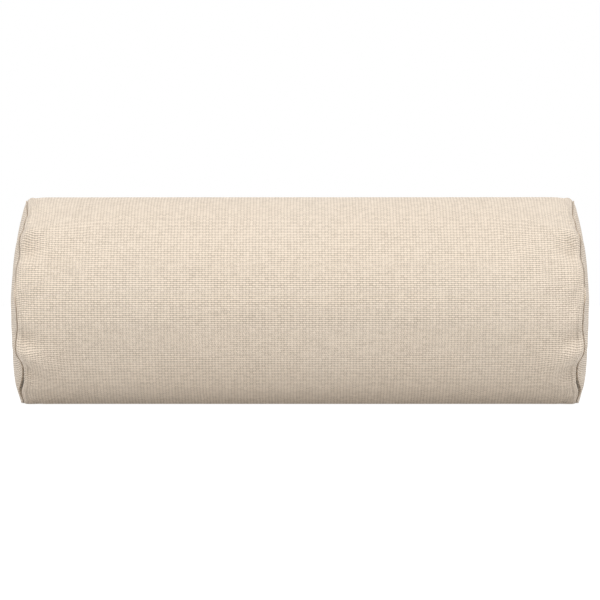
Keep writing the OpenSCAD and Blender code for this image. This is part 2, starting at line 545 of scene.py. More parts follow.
@dataclass(frozen=True)
class TwistedThread:
    """Sewing thread with its twist."""

    name: str
    light: Colour
    dark: Colour
    twist: float = 0.55 * MM

    def make(self) -> bpy.types.Material:
        """Builds the finish.

        Returns:
            The material, twisted about the roll's length.
        """
        tree = FinishTree(self.name)
        x, y, z = tree.axes(tree.place())
        lay = ((x + (y + z) * 0.7) * (2.0 * math.pi / self.twist)).sine() * 0.5 + 0.5
        fuzz = tree.noise(tree.place(), 2600.0)
        colour = tree.blend(lay * 0.7 + fuzz * 0.3, self.dark, self.light)
        return tree.close(Base_Color=colour, Roughness=0.62, Normal=tree.bump(lay, 0.05 * MM),
                          Sheen_Weight=0.25)


@dataclass(frozen=True)
class WovenTape:
    """A narrow woven tape with a herringbone of fine ribs."""

    name: str
    light: Colour
    dark: Colour
    rib: float = 0.55 * MM
    chevron: float = 3.2 * MM

    def make(self) -> bpy.types.Material:
        """Builds the finish.

        Returns:
            The material.
        """
        tree = FinishTree(self.name)
        x, y, z = tree.axes(tree.place())
        zigzag = ((y + z) / self.chevron).part() - 0.5
        rib = ((x / self.rib + zigzag.size() * 6.0) * (2.0 * math.pi)).sine() * 0.5 + 0.5
        fleck = tree.noise(tree.place(), 1500.0)
        colour = tree.blend(rib * 0.7 + fleck * 0.3, self.dark, self.light)
        return tree.close(Base_Color=colour, Roughness=0.8, Normal=tree.bump(rib, 0.08 * MM),
                          Sheen_Weight=0.3)


@dataclass(frozen=True)
class Monofilament:
    """The zip coils' slightly clear polyester wire."""

    name: str = "cream_monofilament"
    light: Colour = (0.80, 0.73, 0.62)
    dark: Colour = (0.66, 0.58, 0.47)

    def make(self) -> bpy.types.Material:
        """Builds the finish.

        Returns:
            The material.
        """
        tree = FinishTree(self.name)
        streak = tree.noise(tree.place(), 700.0, 2.0)
        colour = tree.blend(streak, self.dark, self.light)
        return tree.close(Base_Color=colour, Roughness=streak.ramp(0.2, 0.8, 0.28, 0.42),
                          Coat_Weight=0.25, Coat_Roughness=0.2)


@dataclass(frozen=True)
class NickelPlate:
    """Satin nickel with fine brushing and a little wear."""

    name: str = "satin_nickel"
    bright: Colour = (0.72, 0.70, 0.66)
    dull: Colour = (0.50, 0.48, 0.45)

    def make(self) -> bpy.types.Material:
        """Builds the finish.

        Returns:
            The material.
        """
        tree = FinishTree(self.name)
        x, y, z = tree.axes(tree.place())
        brushed = tree.noise(tree.vector(x * 260.0, y * 4200.0, z * 4200.0), 1.0, 2.0)
        blotch = tree.noise(tree.place(), 420.0, 4.0)
        colour = tree.blend(brushed * 0.5 + blotch * 0.5, self.dull, self.bright)
        return tree.close(Base_Color=colour, Metallic=1.0,
                          Roughness=(brushed * 0.4 + blotch * 0.6).ramp(0.3, 0.7, 0.24, 0.42),
                          Normal=tree.bump(brushed, 0.01 * MM))


@dataclass(frozen=True)
class FineCloth:
    """A fine plain cloth, such as the liner's cotton or the label's satin."""

    name: str
    light: Colour
    dark: Colour
    thread: float = 0.45 * MM
    gloss: float = 0.75

    def make(self) -> bpy.types.Material:
        """Builds the finish.

        Returns:
            The material.
        """
        tree = FinishTree(self.name)
        x, y, z = tree.axes(tree.place())
        step = 2.0 * math.pi / self.thread
        weave = (x * step).sine() * ((y + z) * step).sine() * 0.5 + 0.5
        # Painted shade: slow noise darkens the cloth in patches, standing in for the shade of creases.
        painted_crease_shade = tree.noise(tree.place(), 40.0, 4.0)
        colour = tree.blend(weave * 0.4 + painted_crease_shade * 0.6, self.dark, self.light)
        return tree.close(Base_Color=colour, Roughness=self.gloss, Normal=tree.bump(weave, 0.03 * MM))


@dataclass(frozen=True)
class SoftFill:
    """Wadding or foam: cells or fibres of one size, with a slow drift in colour."""

    name: str
    light: Colour
    dark: Colour
    grain: float
    depth: float

    def make(self) -> bpy.types.Material:
        """Builds the finish.

        Returns:
            The material.
        """
        tree = FinishTree(self.name)
        cells = tree.node("ShaderNodeTexVoronoi", {"feature": "SMOOTH_F1"},
                          {"Vector": tree.place(), "Scale": 1.0 / self.grain}, "Distance")
        drift = tree.noise(tree.place(), 30.0, 3.0)
        colour = tree.blend(cells * 0.6 + drift * 0.4, self.dark, self.light)
        return tree.close(Base_Color=colour, Roughness=0.95, Normal=tree.bump(cells, self.depth))


# ---- The roll ----


@dataclass(frozen=True)
class Roll:
    """The pillow's round form, as the frame gives it."""

    radius: float
    axis_z: float
    seam_x: float
    crown: float

    @classmethod
    def from_frame(cls) -> "Roll":
        """Reads the roll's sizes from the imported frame."""
        _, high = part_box("cover_body_panel")
        _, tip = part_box("cover_end_right")
        return cls(high.y, high.z - high.y, high.x, tip.x - high.x)

    def polar(self, points: np.ndarray) -> tuple[np.ndarray, np.ndarray]:
        """Measures points about the roll's axis.

        Args:
            points: Rows of places.

        Returns:
            Each point's distance from the axis, and its angle in degrees above the back.
        """
        y, z = points[:, 1], points[:, 2] - self.axis_z
        return np.hypot(y, z), np.degrees(np.arctan2(z, y))

    def above_front(self, angle: np.ndarray) -> np.ndarray:
        """Turns angles above the back into angles above the front."""
        return (180.0 - angle + 180.0) % 360.0 - 180.0

    def place(self, x: np.ndarray, distance: np.ndarray, angle: np.ndarray) -> np.ndarray:
        """Turns measures about the axis back into rows of places."""
        turn = np.radians(angle)
        return np.stack([x, distance * np.cos(turn), self.axis_z + distance * np.sin(turn)], axis=1)

    def press_flat(self, points: np.ndarray, floor: float = 0.0, softness: float = 0.4 * MM) -> np.ndarray:
        """Presses points that would go below the floor flat against it.

        Args:
            points: Rows of places.
            floor: The height they rest at.
            softness: How gently the round turns into the flat.

        Returns:
            The pressed rows.
        """
        pressed = points.copy()
        pressed[:, 2] = floor + softness * np.logaddexp(0.0, (points[:, 2] - floor) / softness)
        return pressed

    def tube(self, name: str, inset: float, half_length: float, around: int, along: int,
             spin: float = 0.0) -> Piece:
        """Models an open tube of even quads about the roll's axis.

        Args:
            name: The piece's name.
            inset: How far inside the roll's outside it lies.
            half_length: From the middle to each open end.
            around: Faces round it.
            along: Faces along it.
            spin: The angle above the back that its first line of points lies at.

        Returns:
            The tube.
        """
        clear_bench()
        turn = Matrix.Rotation(math.radians(spin), 4, "X") @ Matrix.Rotation(math.pi / 2, 4, "Y")
        bpy.ops.mesh.primitive_cylinder_add(
            vertices=around, radius=self.radius - inset, depth=2 * half_length, end_fill_type="NOTHING",
            location=(0, 0, self.axis_z), rotation=turn.to_euler())
        piece = new_piece(name)
        with shaping(piece):
            pick(piece, Pick.EDGES, lambda edge: edge.calc_length() > half_length)
            bpy.ops.mesh.subdivide(number_cuts=along - 1)
        return piece

    def close_ends(self, piece: Piece, around: int) -> None:
        """Fills both open ends of a tube with a grid of quads."""
        for end in End:
            with shaping(piece):
                pick(piece, Pick.EDGES, lambda edge: edge.is_boundary and edge.verts[0].co.x * end.value > 0)
                bpy.ops.mesh.fill_grid(span=around // 4)
                bpy.ops.mesh.select_all(action="SELECT")
                bpy.ops.mesh.normals_make_consistent(inside=False)


@dataclass(frozen=True)
class ZipLine:
    """Where the zip lies: X along the roll, out of it, and across the zip."""

    roll: Roll
    angle: float
    coil_x: float
    tape_top: float
    coil_top: float
    slider_x: float
    pin_out: float

    @classmethod
    def from_frame(cls, roll: Roll) -> "ZipLine":
        """Reads the zip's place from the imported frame.

        Args:
            roll: The roll that it is sewn into.
        """
        swing = next(joint for joint in frame["joints"] if joint["name"] == "puller_swing")
        x, y, z = swing["pos_m"]
        pin_out = math.hypot(y, z - roll.axis_z)
        low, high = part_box("zip_coil_upper")
        thickness = high.z - low.z
        angle = math.degrees(math.atan2(z - roll.axis_z, y))
        middle = (low + high) / 2
        turn = math.radians(angle)
        coil_out = middle.y * math.cos(turn) + (middle.z - roll.axis_z) * math.sin(turn)
        return cls(roll, angle, high.x, coil_out - thickness / 2, coil_out + thickness / 2, x, pin_out)

    def from_line(self, points: np.ndarray) -> np.ndarray:
        """Each point's length round the roll from the zip's line, upwards positive."""
        _, angle = self.roll.polar(points)
        away = (angle - self.angle + 180.0) % 360.0 - 180.0
        return np.radians(away) * self.roll.radius


# ---- The cover ----


@dataclass(frozen=True)
class Pucker:
    """A ridge or a valley that runs from an end seam into the cloth.

    Attributes:
        angle: Where it starts at the seam, above the front.
        height: How far it stands out, or in if negative.
        reach: How far it runs along the roll.
        spread: Half its width, in degrees.
        drift: How far it turns over its reach, in degrees.
    """

    angle: float
    height: float
    reach: float
    spread: float
    drift: float = 0.0

    def swell(self, above_front: np.ndarray, from_seam: np.ndarray) -> np.ndarray:
        """How far the cloth stands out.

        Args:
            above_front: Each point's angle above the front.
            from_seam: Each point's distance from the end seam.

        Returns:
            The height at each point.
        """
        run = np.clip(from_seam / self.reach, 0.0, 3.0)
        away = (above_front - self.angle - self.drift * run + 180.0) % 360.0 - 180.0
        width = self.spread * (1.0 + 0.5 * run)
        held = 1.0 - SEAM_HOLD * np.exp(-(from_seam / SEAM_REACH) ** 2)
        return self.height * held * np.exp(-0.5 * (away / width) ** 2) * np.exp(-run ** 2)


@dataclass(frozen=True)
class Stray:
    """A stretch where an end seam strays along the roll from its true plane.

    Attributes:
        angle: The middle of the stretch, above the front.
        shift: How far it strays, outwards if positive.
        spread: Half its width, in degrees.
    """

    angle: float
    shift: float
    spread: float

    def shift_at(self, above_front: np.ndarray) -> np.ndarray:
        """How far the seam strays at each angle above the front."""
        away = (above_front - self.angle + 180.0) % 360.0 - 180.0
        return self.shift * np.exp(-(away / self.spread) ** 2)


@dataclass
class WovenCover:
    """The cover: one panel rolled into a tube, and a round panel at each end."""

    PANEL = "panel"
    roll: Roll
    zip_line: ZipLine
    weave: BasketWeave = BasketWeave()
    around: int = 108
    along: int = 92
    crowding: float = 0.35
    swelling: float = 0.03
    seeded: float = 0.3
    seam_radius: float = 81.2 * MM
    fillet: float = 7.0 * MM
    cloth_t: float = 0.8 * MM
    opening_x: float = 176.0 * MM
    seam_gap: float = 0.8 * MM
    seam_gape: float = 1.8 * MM
    turned_in: float = 3.2 * MM
    leaning: float = 1.6 * MM
    most_move: float = 8.0 * MM
    crown: float = 9.8 * MM
    lip: float = 0.9 * MM
    sag: float = 1.8 * MM
    tug: float = 1.8
    gape_at: float = -54.0
    gape_spread: float = 12.0
    fill_steps: int = 20
    fill_pressure: float = 4.0
    stiffness: float = 0.3
    shoulder_hold: float = 0.92
    shoulder_reach: float = 20.0 * MM
    rim_reach: float = 9.0 * MM
    panel_reach: float = 20.0 * MM
    stray_reach: float = 14.0 * MM
    out_by: float = 0.8 * MM
    back_seam_w: float = 1.6 * MM
    back_seam_in: float = 0.9 * MM
    puckers: list[Pucker] = field(default_factory=list)
    strays: list[Stray] = field(default_factory=list)
    seams: list["SeamLine"] = field(default_factory=list)

    def __post_init__(self) -> None:
        """Lists the seams' strays and puckers one by one, apart from the back's puckers, which are drawn."""
        self.strays = [
            Stray(58, -5.3 * MM, 28), Stray(-13, -1.2 * MM, 6), Stray(-23, 0.5 * MM, 6),
            Stray(-43, -4.0 * MM, 11), Stray(-70, -0.8 * MM, 12), Stray(150, -1.4 * MM, 30),
            Stray(200, 0.8 * MM, 20), Stray(236, -1.2 * MM, 16),
        ]
        self.puckers = [
            Pucker(63, 0.6 * MM, 12 * MM, 2.4), Pucker(57, -0.8 * MM, 12 * MM, 2.4, 1),
            Pucker(51, 0.7 * MM, 12 * MM, 2.4, 1), Pucker(45, -1.3 * MM, 9 * MM, 2.2, 2),
            Pucker(38, 3.4 * MM, 30 * MM, 4.0, 5), Pucker(27, -4.0 * MM, 18 * MM, 3.8, 5),
            Pucker(17, 0.7 * MM, 16 * MM, 3.0, 2), Pucker(10, 0.5 * MM, 20 * MM, 3.0),
            Pucker(0, -0.5 * MM, 14 * MM, 3.0), Pucker(-11, 0.7 * MM, 18 * MM, 4.0),
            Pucker(-18, -3.6 * MM, 15 * MM, 2.7, -4), Pucker(-26.5, 3.4 * MM, 24 * MM, 4.0, -5),
            Pucker(-38, -3.4 * MM, 15 * MM, 4.0, -6), Pucker(-50, 0.5 * MM, 14 * MM, 4.0, -3),
            Pucker(-57, -0.6 * MM, 12 * MM, 3.0), Pucker(-64, 0.5 * MM, 10 * MM, 3.0),
        ]
        draw = random.Random(11)
        angle, sign = 76.0, 1.0
        while angle < 285.0:
            height = sign * draw.uniform(0.6, 1.5) * MM * (0.2 if angle < 112.0 else 1.0)
            self.puckers.append(Pucker(angle, height, draw.uniform(11, 26) * MM, draw.uniform(2.6, 4.4),
                                       draw.uniform(-5, 5)))
            angle += draw.uniform(8.0, 13.0)
            sign = -sign

    def ruffle(self, points: np.ndarray) -> np.ndarray:
        """The sum of all the puckers at each point.

        Args:
            points: Rows of places.

        Returns:
            How far each point stands out of the smooth roll.
        """
        _, angle = self.roll.polar(points)
        above_front = self.roll.above_front(angle)
        from_seam = np.maximum(self.roll.seam_x - np.abs(points[:, 0]), 0.0)
        return sum(pucker.swell(above_front, from_seam) for pucker in self.puckers)

    def sew_flat_cloth(self) -> Piece:
        """Models the closed skin and maps it as flat cloth.

        Returns:
            The skin, still a plain closed cylinder of quads.
        """
        skin = self.roll.tube("cover_skin", 0.0, self.roll.seam_x, self.around, self.along,
                              self.zip_line.angle)
        points = read_points(skin)
        share = points[:, 0] / self.roll.seam_x
        points[:, 0] = self.roll.seam_x * (share + self.crowding * np.sin(np.pi * share) / np.pi)
        write_points(skin, points)
        self.roll.close_ends(skin, self.around)
        cloth = skin.data.uv_layers.new(name=self.weave.layer)
        panel = skin.data.attributes.new(self.PANEL, "INT", "FACE")
        for face in skin.data.polygons:
            flat_end = abs(face.normal.x) > 0.5
            panel.data[face.index].value = int(math.copysign(flat_end, face.center.x))
            middle = math.atan2(face.center.z - self.roll.axis_z, face.center.y)
            for loop in face.loop_indices:
                point = skin.data.vertices[skin.data.loops[loop].vertex_index].co
                if flat_end:
                    cloth.data[loop].uv = (point.y, point.z)
                    continue
                turn = math.atan2(point.z - self.roll.axis_z, point.y)
                turn = middle + math.remainder(turn - middle, 2 * math.pi)
                cloth.data[loop].uv = (point.x, turn * self.roll.radius)
        return skin

    def gather(self, points: np.ndarray) -> np.ndarray:
        """Shapes the flat cylinder as the cloth is before it is filled.

        Args:
            points: The plain cylinder's points.

        Returns:
            The points, drawn in at both seams, crowned at the ends and slightly small.
        """
        distance, angle = self.roll.polar(points)
        x = points[:, 0].copy()
        side = np.sign(x)
        from_seam = self.roll.seam_x - np.abs(x)
        is_end = from_seam < 1e-6
        slack = 1.0 / (1.0 + self.swelling)
        drop = self.drop(from_seam)
        body = (distance - drop) * slack
        seam = self.seam_radius / self.roll.radius
        out = np.where(is_end, distance * seam, np.minimum(body + drop * 0.4, self.roll.radius * slack))
        ruffle = self.ruffle(points)
        out = out + np.where(is_end, 0.0, ruffle * self.seeded)
        rim = np.clip(distance / self.roll.radius, 0.0, 1.0)
        dome = (self.roll.crown - 1.5 * MM) * (1.0 - rim ** 2) ** 0.7
        x = np.where(is_end, side * (self.roll.seam_x + dome), x)
        return self.roll.press_flat(self.roll.place(x, out, angle), 1.0 * MM)

    def drop(self, from_seam: np.ndarray) -> np.ndarray:
        """How far the cloth's rounded shoulder lies inside the roll, near an end seam."""
        into = np.clip(self.fillet - 0.8 * MM - from_seam, 0.0, None)
        return self.fillet - np.sqrt(self.fillet ** 2 - into ** 2)

    def fill_out(self, skin: Piece) -> None:
        """Fills the skin by a cloth simulation and keeps its result.

        Args:
            skin: The gathered skin.
        """
        start = read_points(skin)
        held = skin.vertex_groups.new(name="held")
        flat = np.abs(np.abs(start[:, 0]) - self.roll.seam_x)
        distance, _ = self.roll.polar(start)
        seam = np.where((flat < 2.5 * MM) & (np.abs(distance - self.seam_radius) < 0.6 * MM))[0]
        held.add([int(index) for index in seam], 1.0, "REPLACE")
        take_up(skin)
        cloth = skin.modifiers.new("Filling", "CLOTH")
        cloth.settings.quality = 6
        cloth.settings.shrink_min = -self.swelling
        cloth.settings.bending_stiffness = self.stiffness
        cloth.settings.use_pressure = True
        cloth.settings.uniform_pressure_force = self.fill_pressure
        cloth.settings.effector_weights.gravity = 0.0
        cloth.settings.vertex_group_mass = held.name
        cloth.collision_settings.use_collision = False
        cloth.point_cache.frame_start, cloth.point_cache.frame_end = 1, self.fill_steps
        scene = bpy.context.scene
        scene.frame_start, scene.frame_end = 1, self.fill_steps
        for step in range(1, self.fill_steps + 1):
            scene.frame_set(step)
        filled = np.zeros(start.size)
        evaluated = skin.evaluated_get(bpy.context.evaluated_depsgraph_get())
        evaluated.data.vertices.foreach_get("co", filled)
        move = filled.reshape(-1, 3) - start
        length = np.linalg.norm(move, axis=1, keepdims=True)
        capped = move * np.minimum(1.0, self.most_move / np.maximum(length, 1e-9))
        skin.modifiers.remove(cloth)
        skin.vertex_groups.clear()
        scene.frame_set(1)
        write_points(skin, self.true_up(start + capped))

    def true_up(self, points: np.ndarray) -> np.ndarray:
        """Brings the filled skin to its right girth, and both end panels to their right crown."""
        beyond = np.abs(points[:, 0]) - self.roll.seam_x
        share = np.maximum(beyond, 0.0) / np.max(beyond)
        distance, angle = self.roll.polar(points)
        low = np.clip((self.roll.axis_z - points[:, 2] - 25 * MM) / (45 * MM), 0.0, 1.0)
        lip = self.lip * (1.0 - np.exp(-(self.seam_radius - distance).clip(0.0, None) / (2.5 * MM)))
        crowned = lip + (self.crown - self.lip) * share ** 1.4 + self.sag * low * share ** 0.6
        points[:, 0] += np.sign(points[:, 0]) * np.where(beyond > 0.0, crowned - beyond, 0.0)
        middle = (beyond < -0.3 * self.roll.seam_x) & (angle > -60.0) & (angle < 240.0)
        girth = self.roll.radius / np.mean(distance[middle & (points[:, 2] > self.roll.axis_z)])
        inward = np.clip(-beyond / (12 * MM), 0.0, 1.0)
        return self.roll.place(points[:, 0], distance * (1.0 + (girth - 1.0) * inward), angle)

    def settle_shape(self, skin: Piece) -> None:
        """Smooths the skin, draws its puckers in and lays it on the table."""
        finish_with(skin, "SUBSURF", levels=1, render_levels=1, uv_smooth="NONE")
        points = read_points(skin)
        distance, angle = self.roll.polar(points)
        beyond = np.abs(points[:, 0]) - self.roll.seam_x
        in_end = np.clip(beyond / (0.4 * MM), 0.0, 1.0)
        rim_fade = self.fade_in_end(beyond, distance, self.rim_reach)
        from_line = self.zip_line.from_line(points)
        beside_zip = (np.abs(points[:, 0]) > self.opening_x) * (beyond < 0)
        back_seam = np.exp(-(from_line / self.back_seam_w) ** 2) * beside_zip
        ruffle = self.tug * self.ruffle(points) * rim_fade
        shoulder = self.roll.radius - self.drop(np.maximum(-beyond, 0.0))
        held = self.shoulder_hold * np.exp(-(beyond / self.shoulder_reach) ** 2)
        near_seam = np.where(beyond < 0.0, held, 0.0)
        distance = np.minimum(distance + (shoulder - distance) * near_seam, shoulder)
        panel_fade = self.fade_in_end(beyond, distance, self.panel_reach)
        along = self.wander(angle) * np.exp(-np.maximum(-beyond, 0.0) / self.stray_reach) * panel_fade
        x = points[:, 0] + np.sign(points[:, 0]) * (along + 0.25 * ruffle * in_end)
        points = self.roll.place(x, distance + ruffle - self.back_seam_in * back_seam, angle)
        write_points(skin, self.roll.press_flat(points))

    def fade_in_end(self, beyond: np.ndarray, distance: np.ndarray, reach: float) -> np.ndarray:
        """Fades from one at the seam towards the middle of an end panel.

        Args:
            beyond: Each point's distance past the end seam.
            distance: Each point's distance from the axis.
            reach: How far in the fade has fallen to about a third.

        Returns:
            The fade, which is one all over the body panel.
        """
        fade = np.exp((distance - self.seam_radius).clip(None, 0.0) / reach)
        return np.where(beyond > 0.0, fade, 1.0)

    def wander(self, angle: np.ndarray) -> np.ndarray:
        """How far the end seams stray from true, at each angle above the back."""
        above_front = self.roll.above_front(angle)
        turn = np.radians(above_front)
        ripple = 0.25 * MM * np.sin(turn * 11.0) + 0.2 * MM * np.sin(turn * 23.0)
        return self.out_by + ripple + sum(stray.shift_at(above_front) for stray in self.strays)

    def open_points(self, panel: Piece) -> np.ndarray:
        """Finds the numbers of the points along a panel's open edges."""
        mesh = bmesh.new()
        mesh.from_mesh(panel.data)
        found = [point.index for point in mesh.verts if point.is_boundary]
        mesh.free()
        return np.array(found)

    def part_panels(self, skin: Piece) -> list[Piece]:
        """Parts the skin at its seams.

        Args:
            skin: The filled skin.

        Returns:
            The body panel, then the left and the right end panel.
        """
        ends = []
        for end in End:
            with shaping(skin):
                panel = bmesh.from_edit_mesh(skin.data).faces.layers.int[self.PANEL]
                pick(skin, Pick.FACES, lambda face: face[panel] == end.value)
                bpy.ops.mesh.separate(type="SELECTED")
            part = next(other for other in bpy.context.selected_objects if other is not skin)
            part.name = part.data.name = f"end_panel_{end.name.lower()}"
            ends.append(part)
        skin.name = skin.data.name = "body_panel"
        return [skin, *ends]

    def open_seam(self, panel: Piece, away: float) -> None:
        """Draws a panel's edge back from the seam, more where the seam gapes low on the front.

        Args:
            panel: The body panel or an end panel.
            away: Minus one to draw the edge towards the middle of the roll, or one away from it.
        """
        points = read_points(panel)
        _, angle = self.roll.polar(points)
        gape = np.exp(-((self.roll.above_front(angle) - self.gape_at) / self.gape_spread) ** 2)
        edge = self.open_points(panel)
        side = np.sign(points[edge, 0])
        points[edge, 0] += side * away * (self.seam_gap + self.seam_gape * gape[edge]) / 2.0
        write_points(panel, points)

    def turn_edge_in(self, panel: Piece, test: Callable[[Any], bool], depth: float,
                     lean: float = 0.0) -> None:
        """Folds an open edge of a panel in towards the roll's axis.

        Args:
            panel: The panel.
            test: Says which of its open edges are folded.
            depth: How far they go in.
            lean: How far they go towards the roll's middle.
        """
        shrink = (self.roll.radius - depth) / self.roll.radius
        slip = (self.roll.seam_x - lean) / self.roll.seam_x
        with shaping(panel):
            pick(panel, Pick.EDGES, lambda edge: edge.is_boundary and test(edge))
            bpy.ops.mesh.extrude_edges_move()
            bpy.ops.transform.resize(value=(slip, shrink, shrink),
                                     center_override=(0.0, 0.0, self.roll.axis_z))

    def cut_zip_slot(self, body: Piece) -> None:
        """Cuts the opening for the zip out of the body panel and folds its edges in."""
        with shaping(body):
            half_width = 2.2 * self.roll.radius * math.pi / self.around
            pick(body, Pick.FACES, lambda face: self.in_slot(face.calc_center_median(), half_width))
            bpy.ops.mesh.delete(type="FACE")
        self.turn_edge_in(body, lambda edge: abs(edge.verts[0].co.x) < self.opening_x + 4 * MM, 0.5 * MM)
        self.turn_edge_in(body, lambda edge: abs(edge.verts[0].co.x) < self.opening_x + 4 * MM, 0.9 * MM)

    def in_slot(self, place: Vector, half_width: float) -> bool:
        """Whether a place is within the zip's opening."""
        away = self.zip_line.from_line(np.array([place]))[0]
        return abs(place.x) < self.opening_x and abs(away) < half_width and place.y > 0

    def finish_panel(self, panel: Piece, cloth: bpy.types.Material) -> None:
        """Gives a panel its thickness and its cloth."""
        finish_with(panel, "SOLIDIFY", thickness=self.cloth_t, offset=-1.0, use_even_offset=False)
        points = read_points(panel)
        points[:, 2] = np.maximum(points[:, 2], 0.0)
        write_points(panel, points)
        smooth(panel, 60.0)
        dress(panel, cloth)

    def make(self) -> list[Piece]:
        """Makes the three cloth panels.

        Returns:
            The body panel, then the left and the right end panel.
        """
        skin = self.sew_flat_cloth()
        write_points(skin, self.gather(read_points(skin)))
        self.fill_out(skin)
        self.settle_shape(skin)
        body, left, right = self.part_panels(skin)
        for end, panel in ((End.LEFT, left), (End.RIGHT, right)):
            edge = read_points(panel)[self.open_points(panel)]
            self.seams.append(SeamLine.along(self.roll, end, edge))
        self.open_seam(body, -1.0)
        self.turn_edge_in(body, lambda edge: True, self.turned_in, self.leaning)
        self.cut_zip_slot(body)
        for end_panel in (left, right):
            self.open_seam(end_panel, 1.0)
            self.turn_edge_in(end_panel, lambda edge: True, self.turned_in, self.leaning)
        cloth = self.weave.make()
        for panel in (body, left, right):
            self.finish_panel(panel, cloth)
        settle(body, PILLOW, ["cover_body_panel"])
        settle(left, PILLOW, ["cover_end_left"])
        settle(right, PILLOW, ["cover_end_right"])
        return [body, left, right]


# ---- Stitches ----


@dataclass(frozen=True)
class Stitch:
    """One stitch: a short length of thread whose ends dive into the cloth."""

    length: float
    width: float
    height: float
    sides: int = 8

    def make(self, name: str, place: Matrix) -> Piece:
        """Models the stitch.

        Args:
            name: The piece's name.
            place: The move from the stitch's own axes, X along it and Y up out of the cloth.

        Returns:
            The stitch.
        """
        clear_bench()
        bpy.ops.mesh.primitive_uv_sphere_add(segments=self.sides, ring_count=6, radius=0.5,
                                             rotation=(0.0, math.pi / 2, 0.0))
        stitch = new_piece(name)
        with shaping(stitch):
            pick(stitch, Pick.POINTS, lambda point: 0.2 < abs(point.co.x) < 0.49)
            bpy.ops.transform.resize(value=(1.0, 1.35, 1.35), center_override=(0.0, 0.0, 0.0))
            pick(stitch, Pick.POINTS, lambda point: abs(point.co.x) > 0.3)
            bpy.ops.transform.translate(value=(0.0, -0.28, 0.0))
            bpy.ops.mesh.select_all(action="SELECT")
            bpy.ops.transform.resize(value=(self.length, self.height, self.width),
                                     center_override=(0.0, 0.0, 0.0))
        stitch.data.transform(place)
        for face in stitch.data.polygons:
            face.use_smooth = True
        return stitch


def repeat(piece: Piece, count: int, step: Vector) -> None:
    """Repeats a piece in a straight row.

    Args:
        piece: The first of the row.
        count: How many there are in the end.
        step: From each to the next.
    """
    finish_with(piece, "ARRAY", count=count, use_relative_offset=False, use_constant_offset=True,
                constant_offset_displace=step)


# ---- The end seams ----


@dataclass(frozen=True)
class SeamLine:
    """The line that an end seam follows round the roll."""

    roll: Roll
    end: End
    angles: np.ndarray
    places: np.ndarray
    distances: np.ndarray

    @classmethod
    def along(cls, roll: Roll, end: End, edge: np.ndarray) -> "SeamLine":
        """Reads the line from the points of an end panel's edge.

        Args:
            roll: The roll.
            end: The end that the panel closes.
            edge: The edge's points.
        """
        distance, angle = roll.polar(edge)
        order = np.argsort(angle)
        return cls(roll, end, angle[order], edge[order, 0], distance[order])

    def follow(self, piece: Piece, at_x: float, at_distance: float) -> None:
        """Lays a piece made round a true circle along the line instead.

        Args:
            piece: The piece.
            at_x: The circle's place along the roll.
            at_distance: The circle's radius.
        """
        points = read_points(piece)
        distance, angle = self.roll.polar(points)
        x = points[:, 0] - at_x + np.interp(angle, self.angles, self.places, period=360.0)
        out = distance - at_distance + np.interp(angle, self.angles, self.distances, period=360.0)
        write_points(piece, self.roll.place(x, out, angle))


